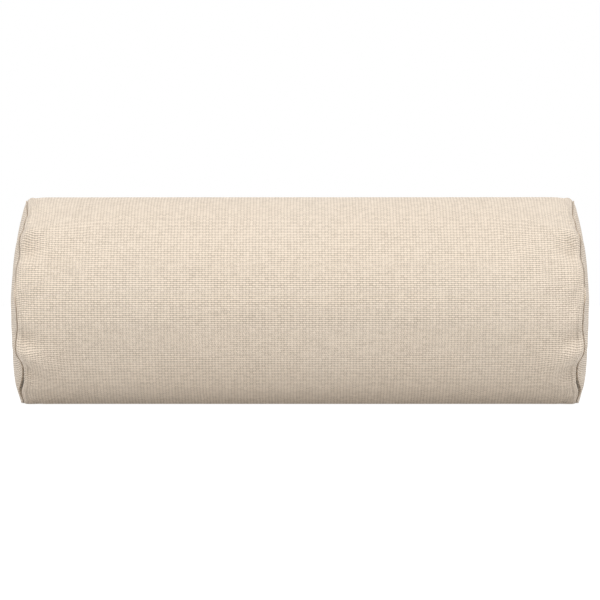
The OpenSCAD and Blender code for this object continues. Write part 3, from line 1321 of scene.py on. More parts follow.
@dataclass
class EndSeam:
    """One end seam: its row of stitches and the tape that binds its raw edges."""

    line: SeamLine
    thread: bpy.types.Material
    tape: bpy.types.Material
    rung: Stitch = Stitch(2.4 * MM, 0.55 * MM, 0.55 * MM)
    stitches: int = 118
    thread_in: float = 1.1 * MM
    bound_from: float = 2.2 * MM
    bound_depth: float = 3.4 * MM
    bound_width: float = 3.4 * MM
    bound_in: float = 2.4 * MM
    tape_t: float = 0.4 * MM
    tape_steps: int = 144

    def sew(self) -> Piece:
        """Models the stitches that close the seam.

        Returns:
            The ring of stitches.
        """
        roll, radius = self.line.roll, self.line.roll.radius
        across = Matrix.Rotation(math.radians(28.0), 4, "Y")
        place = Matrix.Translation((0.0, radius, roll.axis_z)) @ Matrix.Rotation(math.pi / 2, 4, "Y")
        ring = self.rung.make(f"end_seam_stitches_{self.line.end.name.lower()}", place @ across)
        with shaping(ring):
            bpy.ops.mesh.select_all(action="SELECT")
            bpy.ops.mesh.spin(steps=self.stitches, dupli=True, angle=2 * math.pi,
                              center=(0.0, 0.0, roll.axis_z), axis=(1.0, 0.0, 0.0))
            bpy.ops.mesh.select_all(action="SELECT")
            bpy.ops.mesh.normals_make_consistent(inside=False)
        self.line.follow(ring, 0.0, radius + self.thread_in)
        dress(ring, self.thread)
        node = f"end_seam_thread_{self.line.end.name.lower()}"
        return settle(ring, PILLOW, [node])

    def bind(self) -> Piece:
        """Models the tape folded over the raw edges.

        Returns:
            The ring of tape.
        """
        roll = self.line.roll
        clear_bench()
        outer = roll.radius - self.bound_from
        bpy.ops.mesh.primitive_plane_add(size=1.0, location=(0.0, outer - self.bound_depth / 2, roll.axis_z))
        ring = new_piece(f"seam_binding_{self.line.end.name.lower()}")
        with shaping(ring):
            bpy.ops.mesh.select_all(action="SELECT")
            bpy.ops.transform.resize(value=(self.bound_width, self.bound_depth, 1.0),
                                     center_override=(0.0, outer - self.bound_depth / 2, roll.axis_z))
            bpy.ops.mesh.subdivide(number_cuts=3)
            pick(ring, Pick.FACES, lambda face: True)
            bpy.ops.mesh.delete(type="ONLY_FACE")
            pick(ring, Pick.EDGES, lambda edge: not self.on_fold(edge, outer))
            bpy.ops.mesh.delete(type="EDGE")
            bpy.ops.mesh.select_all(action="SELECT")
            bpy.ops.mesh.spin(steps=self.tape_steps, angle=2 * math.pi, use_auto_merge=True,
                              center=(0.0, 0.0, roll.axis_z), axis=(1.0, 0.0, 0.0))
            bpy.ops.mesh.select_all(action="SELECT")
            bpy.ops.mesh.remove_doubles(threshold=0.01 * MM)
            bpy.ops.mesh.normals_make_consistent(inside=False)
        self.line.follow(ring, self.line.end.value * self.bound_in, roll.radius)
        finish_with(ring, "SOLIDIFY", thickness=self.tape_t, offset=0.0)
        round_edges(ring, 0.12 * MM)
        dress(ring, self.tape)
        node = f"end_seam_binding_{self.line.end.name.lower()}"
        return settle(ring, PILLOW, [node])

    def on_fold(self, edge: bmesh.types.BMEdge, outer: float) -> bool:
        """Whether an edge of the starting plane is part of the tape's U, open outwards."""
        middle = (edge.verts[0].co + edge.verts[1].co) / 2
        at_side = abs(abs(middle.x) - self.bound_width / 2) < 0.01 * MM
        at_bottom = abs(middle.y - (outer - self.bound_depth)) < 0.01 * MM
        return at_side or at_bottom


# ---- The zip ----


@dataclass
class Zip:
    """The coil zip in the back of the cover, with its stitches, stops, slider and pull tab.

    Its pieces are modelled with X along the roll, Y out of it and Z across the zip, then placed.
    """

    line: ZipLine
    thread: bpy.types.Material
    tape: bpy.types.Material
    wire: bpy.types.Material
    metal: bpy.types.Material
    tape_in: float = 0.6 * MM
    tape_w: float = 14.0 * MM
    tape_over: float = 10.0 * MM
    tape_t: float = 0.5 * MM
    tape_gap: float = 1.25 * MM
    opening_x: float = 176.0 * MM
    loop_pitch: float = 1.25 * MM
    loop_w: float = 2.5 * MM
    loop_h: float = 1.95 * MM
    loop_middle: float = 1.2 * MM
    wire_r: float = 0.36 * MM
    stitch_from_line: float = 7.0 * MM
    stitch_pitch: float = 4.0 * MM
    stitch: Stitch = Stitch(3.1 * MM, 0.62 * MM, 0.5 * MM)
    tack: Stitch = Stitch(3.0 * MM, 0.6 * MM, 0.55 * MM)
    tack_pitch: float = 0.52 * MM
    tack_half: float = 7.0 * MM
    stop_l: float = 3.3 * MM

    def at(self, out: float, across: float = 0.0, x: float = 0.0) -> Matrix:
        """The move from a piece's own axes to a place on the zip.

        Args:
            out: Its distance from the roll's axis.
            across: Its length round the roll from the zip's line, upwards positive.
            x: Its place along the roll.
        """
        turn = math.radians(self.line.angle) + across / self.line.roll.radius
        lift = Matrix.Translation((0.0, 0.0, self.line.roll.axis_z))
        return lift @ Matrix.Rotation(turn, 4, "X") @ Matrix.Translation((x, out, 0.0))

    def weave_tape(self, row: Row) -> Piece:
        """Models one tape, curved with the roll, with its thicker corded edge beside the coil.

        Args:
            row: Which side of the zip it is.

        Returns:
            The tape.
        """
        clear_bench()
        half_x = self.opening_x + self.tape_over
        middle = self.tape_gap + self.tape_w / 2
        bpy.ops.mesh.primitive_plane_add(size=1.0, location=(0.0, 0.0, 0.0), rotation=(math.pi / 2, 0.0, 0.0))
        tape = new_piece(f"zip_tape_{row.name.lower()}_cloth")
        with shaping(tape):
            bpy.ops.mesh.select_all(action="SELECT")
            bpy.ops.transform.resize(value=(2 * half_x, 1.0, self.tape_w), center_override=(0.0, 0.0, 0.0))
            bpy.ops.transform.translate(value=(0.0, 0.0, middle))
            pick(tape, Pick.EDGES, lambda edge: edge.calc_length() > half_x)
            bpy.ops.mesh.subdivide(number_cuts=92)
            pick(tape, Pick.EDGES,
                 lambda edge: abs(edge.verts[0].co.z - edge.verts[1].co.z) > self.tape_w / 2)
            bpy.ops.mesh.subdivide(number_cuts=13)
        points = read_points(tape)
        across = points[:, 2]
        edge_cord = np.exp(-((across - self.tape_gap - 0.9 * MM) / (0.8 * MM)) ** 2) * 0.25 * MM
        ripple = np.sin(points[:, 0] / (9 * MM) + row.value) * 0.08 * MM
        out = self.line.tape_top - self.tape_in + edge_cord + ripple
        angle = self.line.angle + np.degrees(row.value * across / self.line.roll.radius)
        write_points(tape, self.line.roll.place(points[:, 0], out, angle))
        face_outwards(tape)
        finish_with(tape, "SOLIDIFY", thickness=self.tape_t, offset=0.0)
        smooth(tape, 40.0)
        dress(tape, self.tape)
        return settle(tape, PILLOW, [f"zip_tape_{row.name.lower()}"])

    def wind_coil(self, row: Row) -> Piece:
        """Models one coil of wire, whose loops reach past the middle line between the other coil's.

        Args:
            row: Which side of the zip it is.

        Returns:
            The coil.
        """
        clear_bench()
        loops = round(2 * self.line.coil_x / self.loop_pitch) - 1
        radius = self.loop_w / 2 - self.wire_r
        bpy.ops.mesh.primitive_circle_add(vertices=6, radius=self.wire_r, fill_type="NGON",
                                          location=(0.0, radius, 0.0))
        coil = new_piece(f"zip_loops_{row.name.lower()}")
        with shaping(coil):
            bpy.ops.mesh.select_all(action="SELECT")
            bpy.ops.mesh.delete(type="ONLY_FACE")
        finish_with(coil, "SCREW", axis="X", angle=2 * math.pi, screw_offset=self.loop_pitch, steps=12,
                    render_steps=12, iterations=loops, use_merge_vertices=False)
        with shaping(coil):
            bpy.ops.mesh.select_all(action="SELECT")
            bpy.ops.mesh.remove_doubles(threshold=0.001 * MM)
            bpy.ops.mesh.fill_holes(sides=8)
            bpy.ops.mesh.select_all(action="SELECT")
            bpy.ops.mesh.normals_make_consistent(inside=False)
            bpy.ops.transform.resize(value=(1.0, self.loop_h / self.loop_w, 1.0),
                                     center_override=(0.0, 0.0, 0.0))
        start = -loops * self.loop_pitch / 2 + row.value * self.loop_pitch / 4
        out = (self.line.tape_top + self.line.coil_top) / 2
        coil.data.transform(self.at(out, row.value * self.loop_middle, start))
        smooth(coil, 70.0)
        dress(coil, self.wire)
        return settle(coil, PILLOW, [f"zip_coil_{row.name.lower()}"])

    def sew_coil(self, row: Row) -> Piece:
        """Models the chain of stitches that holds a coil on its tape.

        Args:
            row: Which side of the zip it is.

        Returns:
            The row of stitches.
        """
        over = Stitch(1.5 * MM, 0.42 * MM, 0.42 * MM)
        count = round(2 * self.line.coil_x / self.loop_pitch) - 3
        lean = Matrix.Rotation(math.radians(32.0 * row.value), 4, "Y")
        sewing = over.make(f"zip_loop_stitches_{row.name.lower()}", lean)
        repeat(sewing, count, Vector((self.loop_pitch, 0.0, 0.0)))
        start = -(count - 1) * self.loop_pitch / 2
        sewing.data.transform(self.at(self.line.coil_top - 0.12 * MM, row.value * 1.55 * MM, start))
        dress(sewing, self.thread)
        return settle(sewing, PILLOW)

    def sew_row(self, row: Row) -> Piece:
        """Models the row of stitches that holds a tape in the cover.

        Args:
            row: Which side of the zip it is.

        Returns:
            The row of stitches.
        """
        count = round(2 * self.opening_x / self.stitch_pitch)
        sewing = self.stitch.make(f"zip_row_{row.name.lower()}", Matrix.Identity(4))
        repeat(sewing, count, Vector((self.stitch_pitch, 0.0, 0.0)))
        start = -(count - 1) * self.stitch_pitch / 2
        out = self.line.roll.radius + 0.3 * MM
        sewing.data.transform(self.at(out, row.value * self.stitch_from_line, start))
        dress(sewing, self.thread)
        return settle(sewing, PILLOW, [f"zip_stitches_{row.name.lower()}"])

    def sew_bartacks(self) -> Piece:
        """Models the two dense bars of thread across the ends of the opening.

        Returns:
            Both bars.
        """
        count = round(2 * self.tack_half / self.tack_pitch)
        tack = self.tack.make("tack", Matrix.Identity(4))
        bars = []
        for end in End:
            for step in range(count):
                across = (step - (count - 1) / 2) * self.tack_pitch
                lean = Matrix.Rotation(math.radians(6.0 if step % 2 else -6.0), 4, "Y")
                x = end.value * (self.opening_x + self.tack.length / 2 + 0.5 * MM)
                place = self.at(self.line.roll.radius + 0.2 * MM, across, x) @ lean
                bars.append(copy_of(tack, "tack", place))
        bpy.data.objects.remove(tack)
        tacks = join(bars, "zip_end_tacks")
        dress(tacks, self.thread)
        return settle(tacks, PILLOW, ["zip_bartacks"])

    def block(self, name: str, low: Vector, high: Vector, cuts: int = 0) -> Piece:
        """Models a block to be shaped.

        Args:
            name: The piece's name.
            low: Its lowest corner.
            high: Its highest corner.
            cuts: How many rings are cut round it along X.

        Returns:
            The block.
        """
        clear_bench()
        bpy.ops.mesh.primitive_cube_add(size=1.0, location=(low + high) / 2, scale=high - low)
        piece = new_piece(name)
        if cuts:
            with shaping(piece):
                pick(piece, Pick.EDGES, lambda edge: abs(edge.verts[0].co.x - edge.verts[1].co.x) > 1e-6)
                bpy.ops.mesh.subdivide(number_cuts=cuts)
        return piece

    def crimp(self, name: str, x: float, low_z: float, high_z: float) -> Piece:
        """Models one stop, waisted where the tool has pinched it.

        Args:
            name: The piece's name.
            x: Its middle along the roll.
            low_z: Its lower side across the zip.
            high_z: Its upper side across the zip.

        Returns:
            The stop.
        """
        low = Vector((x - self.stop_l / 2, self.line.tape_top - 0.2 * MM, low_z))
        high = Vector((x + self.stop_l / 2, self.line.coil_top + 0.02 * MM, high_z))
        stop = self.block(name, low, high, 3)
        middle = (low + high) / 2
        with shaping(stop):
            pick(stop, Pick.POINTS, lambda point: abs(point.co.x - x) < 0.1 * MM)
            bpy.ops.transform.resize(value=(1.0, 0.72, 0.86), center_override=middle)
            pick(stop, Pick.POINTS, lambda point: abs(abs(point.co.x - x) - self.stop_l / 2) < 0.1 * MM)
            bpy.ops.transform.resize(value=(1.0, 0.85, 0.9), center_override=middle)
        round_edges(stop, 0.22 * MM, 3, 20.0)
        return stop

    def crimp_stops(self) -> list[Piece]:
        """Models the two top stops and the one wide bottom stop.

        Returns:
            The top stops as one piece, and the bottom stop.
        """
        x = self.line.coil_x + self.stop_l / 2 + 0.05 * MM
        upper = self.crimp("top_stop", x, 0.5 * MM, 3.0 * MM)
        lower = copy_of(upper, "top_stop", ACROSS)
        tops = join([upper, lower], "zip_top_crimps")
        bottom = self.crimp("zip_bottom_crimp", -x, -3.0 * MM, 3.0 * MM)
        for stop, node in ((tops, "zip_top_stops"), (bottom, "zip_bottom_stop")):
            stop.data.transform(self.at(0.0))
            dress(stop, self.metal)
            settle(stop, PILLOW, [node])
        return [tops, bottom]

    def make(self) -> None:
        """Makes everything of the zip that stays on the pillow."""
        for row in Row:
            self.weave_tape(row)
            self.wind_coil(row)
            self.sew_coil(row)
            self.sew_row(row)
        self.sew_bartacks()
        self.crimp_stops()


@dataclass
class Slider:
    """The slider: two plates joined by a neck, with side rails and a bail for the pull tab."""

    zip: Zip
    length: float = 12.0 * MM
    width: float = 8.8 * MM
    tail_w: float = 6.4 * MM
    under_in: float = 3.55 * MM
    plate_t: float = 1.15 * MM
    plate_gap: float = 0.3 * MM
    rail_t: float = 0.8 * MM
    neck_l: float = 3.0 * MM
    neck_w: float = 0.7 * MM
    bail_half: float = 2.95 * MM
    bail_h: float = 2.35 * MM
    bail_r: float = 0.55 * MM

    def outline(self, x: np.ndarray) -> np.ndarray:
        """Half the plates' width: narrow at the tail, wide at the mouth, with rounded corners."""
        along = np.clip(x / self.length + 0.5, 0.0, 1.0)
        rise = np.clip(along / 0.62, 0.0, 1.0)
        half = (self.tail_w + (self.width - self.tail_w) * rise * rise * (3.0 - 2.0 * rise)) / 2.0
        from_tip = np.minimum(along, 1.0 - along) / 0.14
        return half * (1.0 - 0.26 * np.clip(1.0 - from_tip, 0.0, 1.0) ** 2)

    def press_plate(self, name: str, low_y: float, dome: float) -> Piece:
        """Models one plate.

        Args:
            name: The piece's name.
            low_y: Its underside's distance from the roll's axis.
            dome: How far its middle stands up.

        Returns:
            The plate.
        """
        half = Vector((self.length, self.plate_t, self.width)) / 2
        middle = Vector((0.0, low_y + self.plate_t / 2, 0.0))
        plate = self.zip.block(name, middle - half, middle + half, 15)
        with shaping(plate):
            pick(plate, Pick.EDGES, lambda edge: abs(edge.verts[0].co.z - edge.verts[1].co.z) > 1e-6)
            bpy.ops.mesh.subdivide(number_cuts=3)
        points = read_points(plate)
        points[:, 2] *= self.outline(points[:, 0]) / (self.width / 2)
        crest = (1.0 - (points[:, 0] / half.x) ** 2) * (1.0 - (points[:, 2] / half.z) ** 2)
        points[:, 1] += dome * crest * (points[:, 1] > middle.y)
        write_points(plate, points)
        round_edges(plate, 0.28 * MM, 3, 35.0)
        return plate

    def bend_bail(self, base: float) -> Piece:
        """Models the arch that the pull tab's pin passes under.

        Args:
            base: The top plate's distance from the roll's axis.

        Returns:
            The arch.
        """
        clear_bench()
        bpy.ops.mesh.primitive_circle_add(vertices=12, radius=self.bail_r, fill_type="NGON",
                                          location=(-self.bail_half, base, 0.0),
                                          rotation=(math.pi / 2, 0.0, 0.0))
        bail = new_piece("bail")
        with shaping(bail):
            bpy.ops.mesh.select_all(action="SELECT")
            bpy.ops.mesh.spin(steps=16, angle=-math.pi, center=(0.0, base, 0.0), axis=(0.0, 0.0, 1.0))
            bpy.ops.mesh.select_all(action="SELECT")
            bpy.ops.mesh.normals_make_consistent(inside=False)
            bpy.ops.transform.resize(value=(1.0, self.bail_h / self.bail_half, 1.4),
                                     center_override=(0.0, base, 0.0))
            pick(bail, Pick.POINTS, lambda point: point.co.y < base + 0.02 * MM)
            bpy.ops.transform.translate(value=(0.0, -0.3 * MM, 0.0))
        round_edges(bail, 0.1 * MM, 2, 50.0)
        return bail

    def make(self) -> Piece:
        """Makes the slider.

        Returns:
            The slider, on its own body.
        """
        line = self.zip.line
        under = self.press_plate("under_plate", line.roll.radius - self.under_in, 0.0)
        low_y = line.coil_top + self.plate_gap
        top = self.press_plate("top_plate", low_y, 0.18 * MM)
        mouth = self.length / 2
        floor = line.roll.radius - self.under_in + self.plate_t - 0.2 * MM
        neck = self.zip.block("neck", Vector((mouth - 1.2 * MM - self.neck_l, floor, -self.neck_w / 2)),
                              Vector((mouth - 1.2 * MM, low_y + 0.3 * MM, self.neck_w / 2)), 1)
        with shaping(neck):
            pick(neck, Pick.POINTS, lambda point: point.co.x < mouth - 1.3 * MM - self.neck_l + 0.2 * MM)
            bpy.ops.transform.resize(value=(1.0, 1.0, 0.3), center_override=(0.0, 0.0, 0.0))
        round_edges(neck, 0.12 * MM)
        parts = [top, under, neck, self.bend_bail(low_y + self.plate_t)]
        side = self.width / 2 - self.rail_t / 2 - 0.15 * MM
        low = Vector((-0.2 * MM, line.tape_top + 0.35 * MM, side - self.rail_t / 2))
        high = Vector((mouth - 1.0 * MM, low_y + 0.3 * MM, side + self.rail_t / 2))
        rail = self.zip.block("rail", low, high, 2)
        round_edges(rail, 0.2 * MM, 3)
        slider = join([*parts, rail, copy_of(rail, "rail", ACROSS)], "zip_slider_metal")
        slider.data.transform(self.zip.at(0.0, 0.0, line.slider_x))
        dress(slider, self.zip.metal)
        return settle(slider, "slider", ["zip_slider"])


@dataclass
class PullTab:
    """The pull tab: a pin under the bail, two arms, and a tab with a pressed panel and a hole."""

    zip: Zip
    neck_x: float = 4.5 * MM
    tab_l: float = 22.0 * MM
    tab_w: float = 7.0 * MM
    tab_t: float = 1.15 * MM
    arm_in: float = 1.1 * MM
    arm_w: float = 1.1 * MM
    pin_r: float = 0.58 * MM
    hole_r: float = 1.4 * MM
    panel_in: float = 0.9 * MM
    panel_depth: float = 0.25 * MM

    def cut_tab(self) -> Piece:
        """Models the flat tab with its panel and hole.

        Returns:
            The tab.
        """
        clear_bench()
        far_x = -self.neck_x - self.tab_l + self.tab_w / 2
        bpy.ops.mesh.primitive_cylinder_add(vertices=32, radius=self.tab_w / 2, depth=self.tab_t,
                                            location=(far_x, 0.0, 0.0), rotation=(math.pi / 2, 0.0, 0.0))
        tab = new_piece("tab")
        length = self.tab_l - self.tab_w / 2
        with shaping(tab):
            pick(tab, Pick.POINTS, lambda point: point.co.x > far_x + 0.1 * MM)
            bpy.ops.transform.translate(value=(length - self.tab_w / 2, 0.0, 0.0))
            pick(tab, Pick.POINTS, lambda point: point.co.x > -self.neck_x - self.tab_w / 2 + 0.4 * MM)
            bpy.ops.transform.resize(value=(1.0, 1.0, 0.72), center_override=(0.0, 0.0, 0.0))
            pick(tab, Pick.FACES, lambda face: abs(face.normal.y) > 0.9)
            bpy.ops.mesh.inset(thickness=self.panel_in, depth=0.0)
            bpy.ops.mesh.inset(thickness=0.25 * MM, depth=-self.panel_depth)
        self.bore(tab, far_x)
        round_edges(tab, 0.14 * MM, 2, 30.0)
        return tab

    def bore(self, tab: Piece, x: float) -> None:
        """Cuts the round hole near the tab's end."""
        clear_bench()
        bpy.ops.mesh.primitive_cylinder_add(vertices=28, radius=self.hole_r, depth=4 * self.tab_t,
                                            location=(x, 0.0, 0.0), rotation=(math.pi / 2, 0.0, 0.0))
        drill = new_piece("drill")
        finish_with(tab, "BOOLEAN", operation="DIFFERENCE", object=drill, solver="EXACT")
        bpy.data.objects.remove(drill)

    def make(self) -> Piece:
        """Makes the pull tab.

        Returns:
            The tab, on its own body.
        """
        tab = self.cut_tab()
        middle = self.arm_in + self.arm_w / 2
        low = Vector((-self.neck_x - 0.8 * MM, -self.tab_t / 2, middle - self.arm_w / 2))
        high = Vector((0.62 * MM, self.tab_t / 2, middle + self.arm_w / 2))
        arm = self.zip.block("arm", low, high, 5)
        with shaping(arm):
            pick(arm, Pick.POINTS, lambda point: abs(point.co.x) < 2.6 * MM)
            bpy.ops.transform.resize(value=(1.0, 0.92, 0.9), center_override=(0.0, 0.0, middle))
        round_edges(arm, 0.25 * MM, 3, 30.0)
        clear_bench()
        bpy.ops.mesh.primitive_cylinder_add(vertices=20, radius=self.pin_r, depth=2 * self.arm_in + 0.6 * MM)
        pin = new_piece("pin")
        round_edges(pin, 0.1 * MM)
        puller = join([tab, arm, copy_of(arm, "arm", ACROSS), pin], "zip_pull_tab")
        puller.data.transform(self.zip.at(self.zip.line.pin_out, 0.0, self.zip.line.slider_x))
        dress(puller, self.zip.metal)
        return settle(puller, "puller", ["zip_puller"])


# ---- The back seam and the label ----


@dataclass
class BackSeam:
    """The seam that closes the cover beyond both ends of the zip, and the blank label caught in it."""

    zip: Zip
    satin: bpy.types.Material
    stitch: Stitch = Stitch(3.0 * MM, 0.5 * MM, 0.45 * MM)
    pitch: float = 3.6 * MM
    stitches: int = 9
    label_w: float = 26.0 * MM
    label_l: float = 38.0 * MM
    label_t: float = 0.3 * MM

    def sew(self, end: End) -> Piece:
        """Models the stitches that close the seam beyond one end of the zip.

        Args:
            end: Which end of the roll.

        Returns:
            The row of stitches.
        """
        low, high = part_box(f"back_seam_thread_{end.name.lower()}")
        sewing = self.stitch.make(f"back_seam_row_{end.name.lower()}", Matrix.Identity(4))
        repeat(sewing, self.stitches, Vector((self.pitch, 0.0, 0.0)))
        start = (low.x + high.x) / 2 - (self.stitches - 1) * self.pitch / 2
        sewing.data.transform(self.zip.at(self.zip.line.roll.radius - 0.9 * MM, 0.0, start))
        dress(sewing, self.zip.thread)
        return settle(sewing, PILLOW, [f"back_seam_thread_{end.name.lower()}"])

    def hang_label(self) -> Piece:
        """Models the label: a strip of satin that hangs from the seam, with heat-cut edges.

        Returns:
            The label.
        """
        low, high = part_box("care_label")
        roll = self.zip.line.roll
        clear_bench()
        bpy.ops.mesh.primitive_plane_add(size=1.0, rotation=(math.pi / 2, 0.0, 0.0))
        label = new_piece("blank_care_label")
        with shaping(label):
            bpy.ops.mesh.select_all(action="SELECT")
            bpy.ops.transform.resize(value=(self.label_w, 1.0, self.label_l), center_override=(0.0, 0.0, 0.0))
            bpy.ops.transform.translate(value=((low.x + high.x) / 2, 0.0, -self.label_l / 2))
            bpy.ops.mesh.subdivide(number_cuts=27)
        points = read_points(label)
        x, down = points[:, 0], -points[:, 2]
        across = (x - (low.x + high.x) / 2) / self.label_w
        lift = 0.35 * MM + 1.1 * MM * (down / self.label_l) ** 2 * (1.0 + 0.8 * np.sin(across * 5.0 + 0.6))
        wave = 0.25 * MM * np.sin(across * 9.0 + down / (6 * MM)) * (down / self.label_l)
        angle = self.zip.line.angle - np.degrees(down / (roll.radius + 0.8 * MM))
        write_points(label, roll.place(x, roll.radius + lift + wave, angle))
        face_outwards(label)
        finish_with(label, "SOLIDIFY", thickness=self.label_t, offset=0.0)
        smooth(label, 40.0)
        dress(label, self.satin)
        settle(label, PILLOW, ["care_label"])
        return label

    def make(self) -> None:
        """Makes the seam's stitches and the label."""
        for end in End:
            self.sew(end)
        self.hang_label()


# ---- The insert ----


@dataclass
class Insert:
    """What the cover holds: a liner round wadding round a foam core."""

    roll: Roll
    liner: bpy.types.Material
    wadding: bpy.types.Material
    foam: bpy.types.Material
    thread: bpy.types.Material
    liner_r: float = 78.8 * MM
    liner_x: float = 214.0 * MM
    liner_crown: float = 9.0 * MM
    liner_t: float = 0.4 * MM
    corner: float = 9.0 * MM
    steps: int = 96
    rest: float = 3.2 * MM

    def turn(self, name: str, outline: Sequence[tuple[float, float]], closed: bool) -> Piece:
        """Spins an outline round the roll's axis.

        Args:
            name: The piece's name.
            outline: Points along it, each a place along the roll and a distance from the axis.
            closed: Whether the last point joins the first.

        Returns:
            The spun surface.
        """
        clear_bench()
        bpy.ops.mesh.primitive_circle_add(vertices=len(outline), radius=1.0)
        piece = new_piece(name)
        points = np.array([(x, distance, self.roll.axis_z) for x, distance in outline])
        write_points(piece, points)
        with shaping(piece):
            if not closed:
                pick(piece, Pick.EDGES, lambda edge: {0, len(outline) - 1} == {v.index for v in edge.verts})
                bpy.ops.mesh.delete(type="EDGE")
            bpy.ops.mesh.select_all(action="SELECT")
            bpy.ops.mesh.spin(steps=self.steps, angle=2 * math.pi, center=(0.0, 0.0, self.roll.axis_z),
                              axis=(1.0, 0.0, 0.0))
            bpy.ops.mesh.select_all(action="SELECT")
            bpy.ops.mesh.remove_doubles(threshold=0.05 * MM)
            bpy.ops.mesh.normals_make_consistent(inside=False)
        return piece

    def ruffled(self, piece: Piece, height: float, size: float, floor: float) -> None:
        """Works a soft unevenness into a piece and presses its underside flat.

        Args:
            piece: The piece.
            height: How far the unevenness goes in and out.
            size: The width of a bump.
            floor: The height that it rests at.
        """
        points = read_points(piece)
        distance, angle = self.roll.polar(points)
        turn = np.radians(angle)
        along = points[:, 0] / size
        around = turn * self.roll.radius / size
        waves = np.sin(along + 2.0 * np.sin(turn * 3.0)) * np.cos(around * 0.9 + along * 0.4)
        distance = distance + height * waves * np.clip(distance / self.liner_r, 0.0, 1.0)
        points = self.roll.place(points[:, 0], distance, angle)
        write_points(piece, self.roll.press_flat(points, floor, 1.5 * MM))

    def corner_of(self, x: float, radius: float, corner: float, steps: int = 6) -> list[tuple[float, float]]:
        """Points round a corner, from the side to the end."""
        turns = [math.pi / 2 * step / steps for step in range(steps + 1)]
        return [(x - corner + corner * math.sin(a), radius - corner + corner * math.cos(a)) for a in turns]

    def straight(self, distance: float) -> list[tuple[float, float]]:
        """Points along the straight part of a roll, from left to right."""
        return [(-200 * MM + 20 * MM * step, distance) for step in range(21)]

    def flip(self, outline: Sequence[tuple[float, float]]) -> list[tuple[float, float]]:
        """The same outline at the other end, in the other order."""
        return [(-x, distance) for x, distance in reversed(outline)]

    def sew_liner(self) -> None:
        """Makes the liner's tube, its two ends and the stitches that close it."""
        corner = self.corner_of(self.liner_x, self.liner_r, self.corner)
        sleeve = self.straight(self.liner_r)
        body = self.turn("liner_sleeve", [*self.flip(corner), *sleeve, *corner], False)
        self.ruffled(body, 0.25 * MM, 9 * MM, self.rest)
        finish_with(body, "SUBSURF", levels=1, render_levels=1)
        finish_with(body, "SOLIDIFY", thickness=self.liner_t, offset=-1.0)
        pieces = [(body, "liner_body")]
        rim = self.liner_r - self.corner - 0.3 * MM
        for end in End:
            start_x = self.liner_x + 0.2 * MM
            dome = [(end.value * (start_x + self.liner_crown * (1 - (step / 10) ** 2) ** 0.8),
                     rim * step / 10) for step in range(11)]
            panel = self.turn(f"liner_disc_{end.name.lower()}", dome, False)
            finish_with(panel, "SUBSURF", levels=1, render_levels=1)
            finish_with(panel, "SOLIDIFY", thickness=self.liner_t, offset=-1.0)
            pieces.append((panel, f"liner_end_{end.name.lower()}"))
        for piece, node in pieces:
            smooth(piece, 50.0)
            dress(piece, self.liner)
            settle(piece, PILLOW, [node])
        self.close_liner()

    def close_liner(self) -> Piece:
        """Models the hand stitches along the liner's closing."""
        low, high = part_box("liner_closing_stitches")
        stitch = Stitch(4.2 * MM, 0.5 * MM, 0.5 * MM)
        sewing = stitch.make("liner_hand_stitches", Matrix.Rotation(0.5, 4, "Y"))
        pitch = 6.0 * MM
        count = int((high.x - low.x) / pitch)
        repeat(sewing, count, Vector((pitch, 0.0, 0.0)))
        middle_y = (low.y + high.y) / 2
        turn = math.atan2(high.z - self.roll.axis_z, middle_y)
        start = (low.x + high.x) / 2 - (count - 1) * pitch / 2
        on_axis = Matrix.Translation((start, 0.0, self.roll.axis_z)) @ Matrix.Rotation(turn, 4, "X")
        sewing.data.transform(on_axis @ Matrix.Translation((0.0, self.liner_r + 0.15 * MM, 0.0)))
        dress(sewing, self.thread)
        return settle(sewing, PILLOW, ["liner_closing_stitches"])

    def fill(self) -> None:
        """Makes the wadding wrap, its two discs and the foam core."""
        foam_low, foam_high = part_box("foam_core")
        core_r = foam_high.y
        wrap_r = self.liner_r - self.liner_t - 0.4 * MM
        inner_r = core_r + 0.3 * MM
        wrap_line = self.straight(wrap_r)
        inside = self.straight(inner_r)[::-1]
        shoulder = self.corner_of(foam_high.x, wrap_r, 1.6 * MM, 3)
        around = [*self.flip(shoulder), *wrap_line, *shoulder]
        bore = [(foam_high.x, inner_r), *inside, (-foam_high.x, inner_r)]
        wrap = self.turn("wadding_layer", [*around, *bore], True)
        self.finish_fill(wrap, "wadding_wrap", self.wadding, 0.3 * MM, 8 * MM)
        for end in End:
            outer = self.corner_of(self.liner_x - 1.2 * MM, wrap_r - 0.6 * MM, 8.5 * MM)
            dome = [(self.liner_x - 1.2 * MM + (self.liner_crown - 1.0 * MM) * (1 - (step / 8) ** 2) ** 0.8,
                     (wrap_r - 9.4 * MM) * step / 8) for step in range(7, -1, -1)]
            face_x = foam_high.x + 0.3 * MM
            side = [(face_x, 0.0), (face_x, wrap_r * 0.5), (face_x, wrap_r - 0.9 * MM), *outer, *dome]
            outline = [(end.value * x, distance) for x, distance in side]
            disc = self.turn(f"wadding_pad_{end.name.lower()}", outline, False)
            node = f"wadding_disc_{end.name.lower()}"
            self.finish_fill(disc, node, self.wadding, 0.2 * MM, 7 * MM)
        edge = self.corner_of(foam_high.x, core_r, 1.2 * MM, 3)
        core_line = self.straight(core_r)
        left_face = [(foam_low.x, 0.0), (foam_low.x, core_r / 2)]
        right_face = [(foam_high.x, core_r / 2), (foam_high.x, 0.0)]
        outline = [*left_face, *self.flip(edge), *core_line, *edge, *right_face]
        core = self.turn("foam_roll", outline, False)
        self.finish_fill(core, "foam_core", self.foam, 0.05 * MM, 5 * MM)

    def finish_fill(self, piece: Piece, node: str, material: bpy.types.Material, height: float,
                    size: float) -> None:
        """Smooths, dresses and settles one piece of the filling."""
        finish_with(piece, "SUBSURF", levels=1, render_levels=1, subdivision_type="SIMPLE")
        self.ruffled(piece, height, size, self.rest + 0.8 * MM)
        smooth(piece, 50.0)
        dress(piece, material)
        settle(piece, PILLOW, [node])

    def make(self) -> None:
        """Makes the insert from the outside in."""
        self.sew_liner()
        self.fill()


# ---- The studio ----


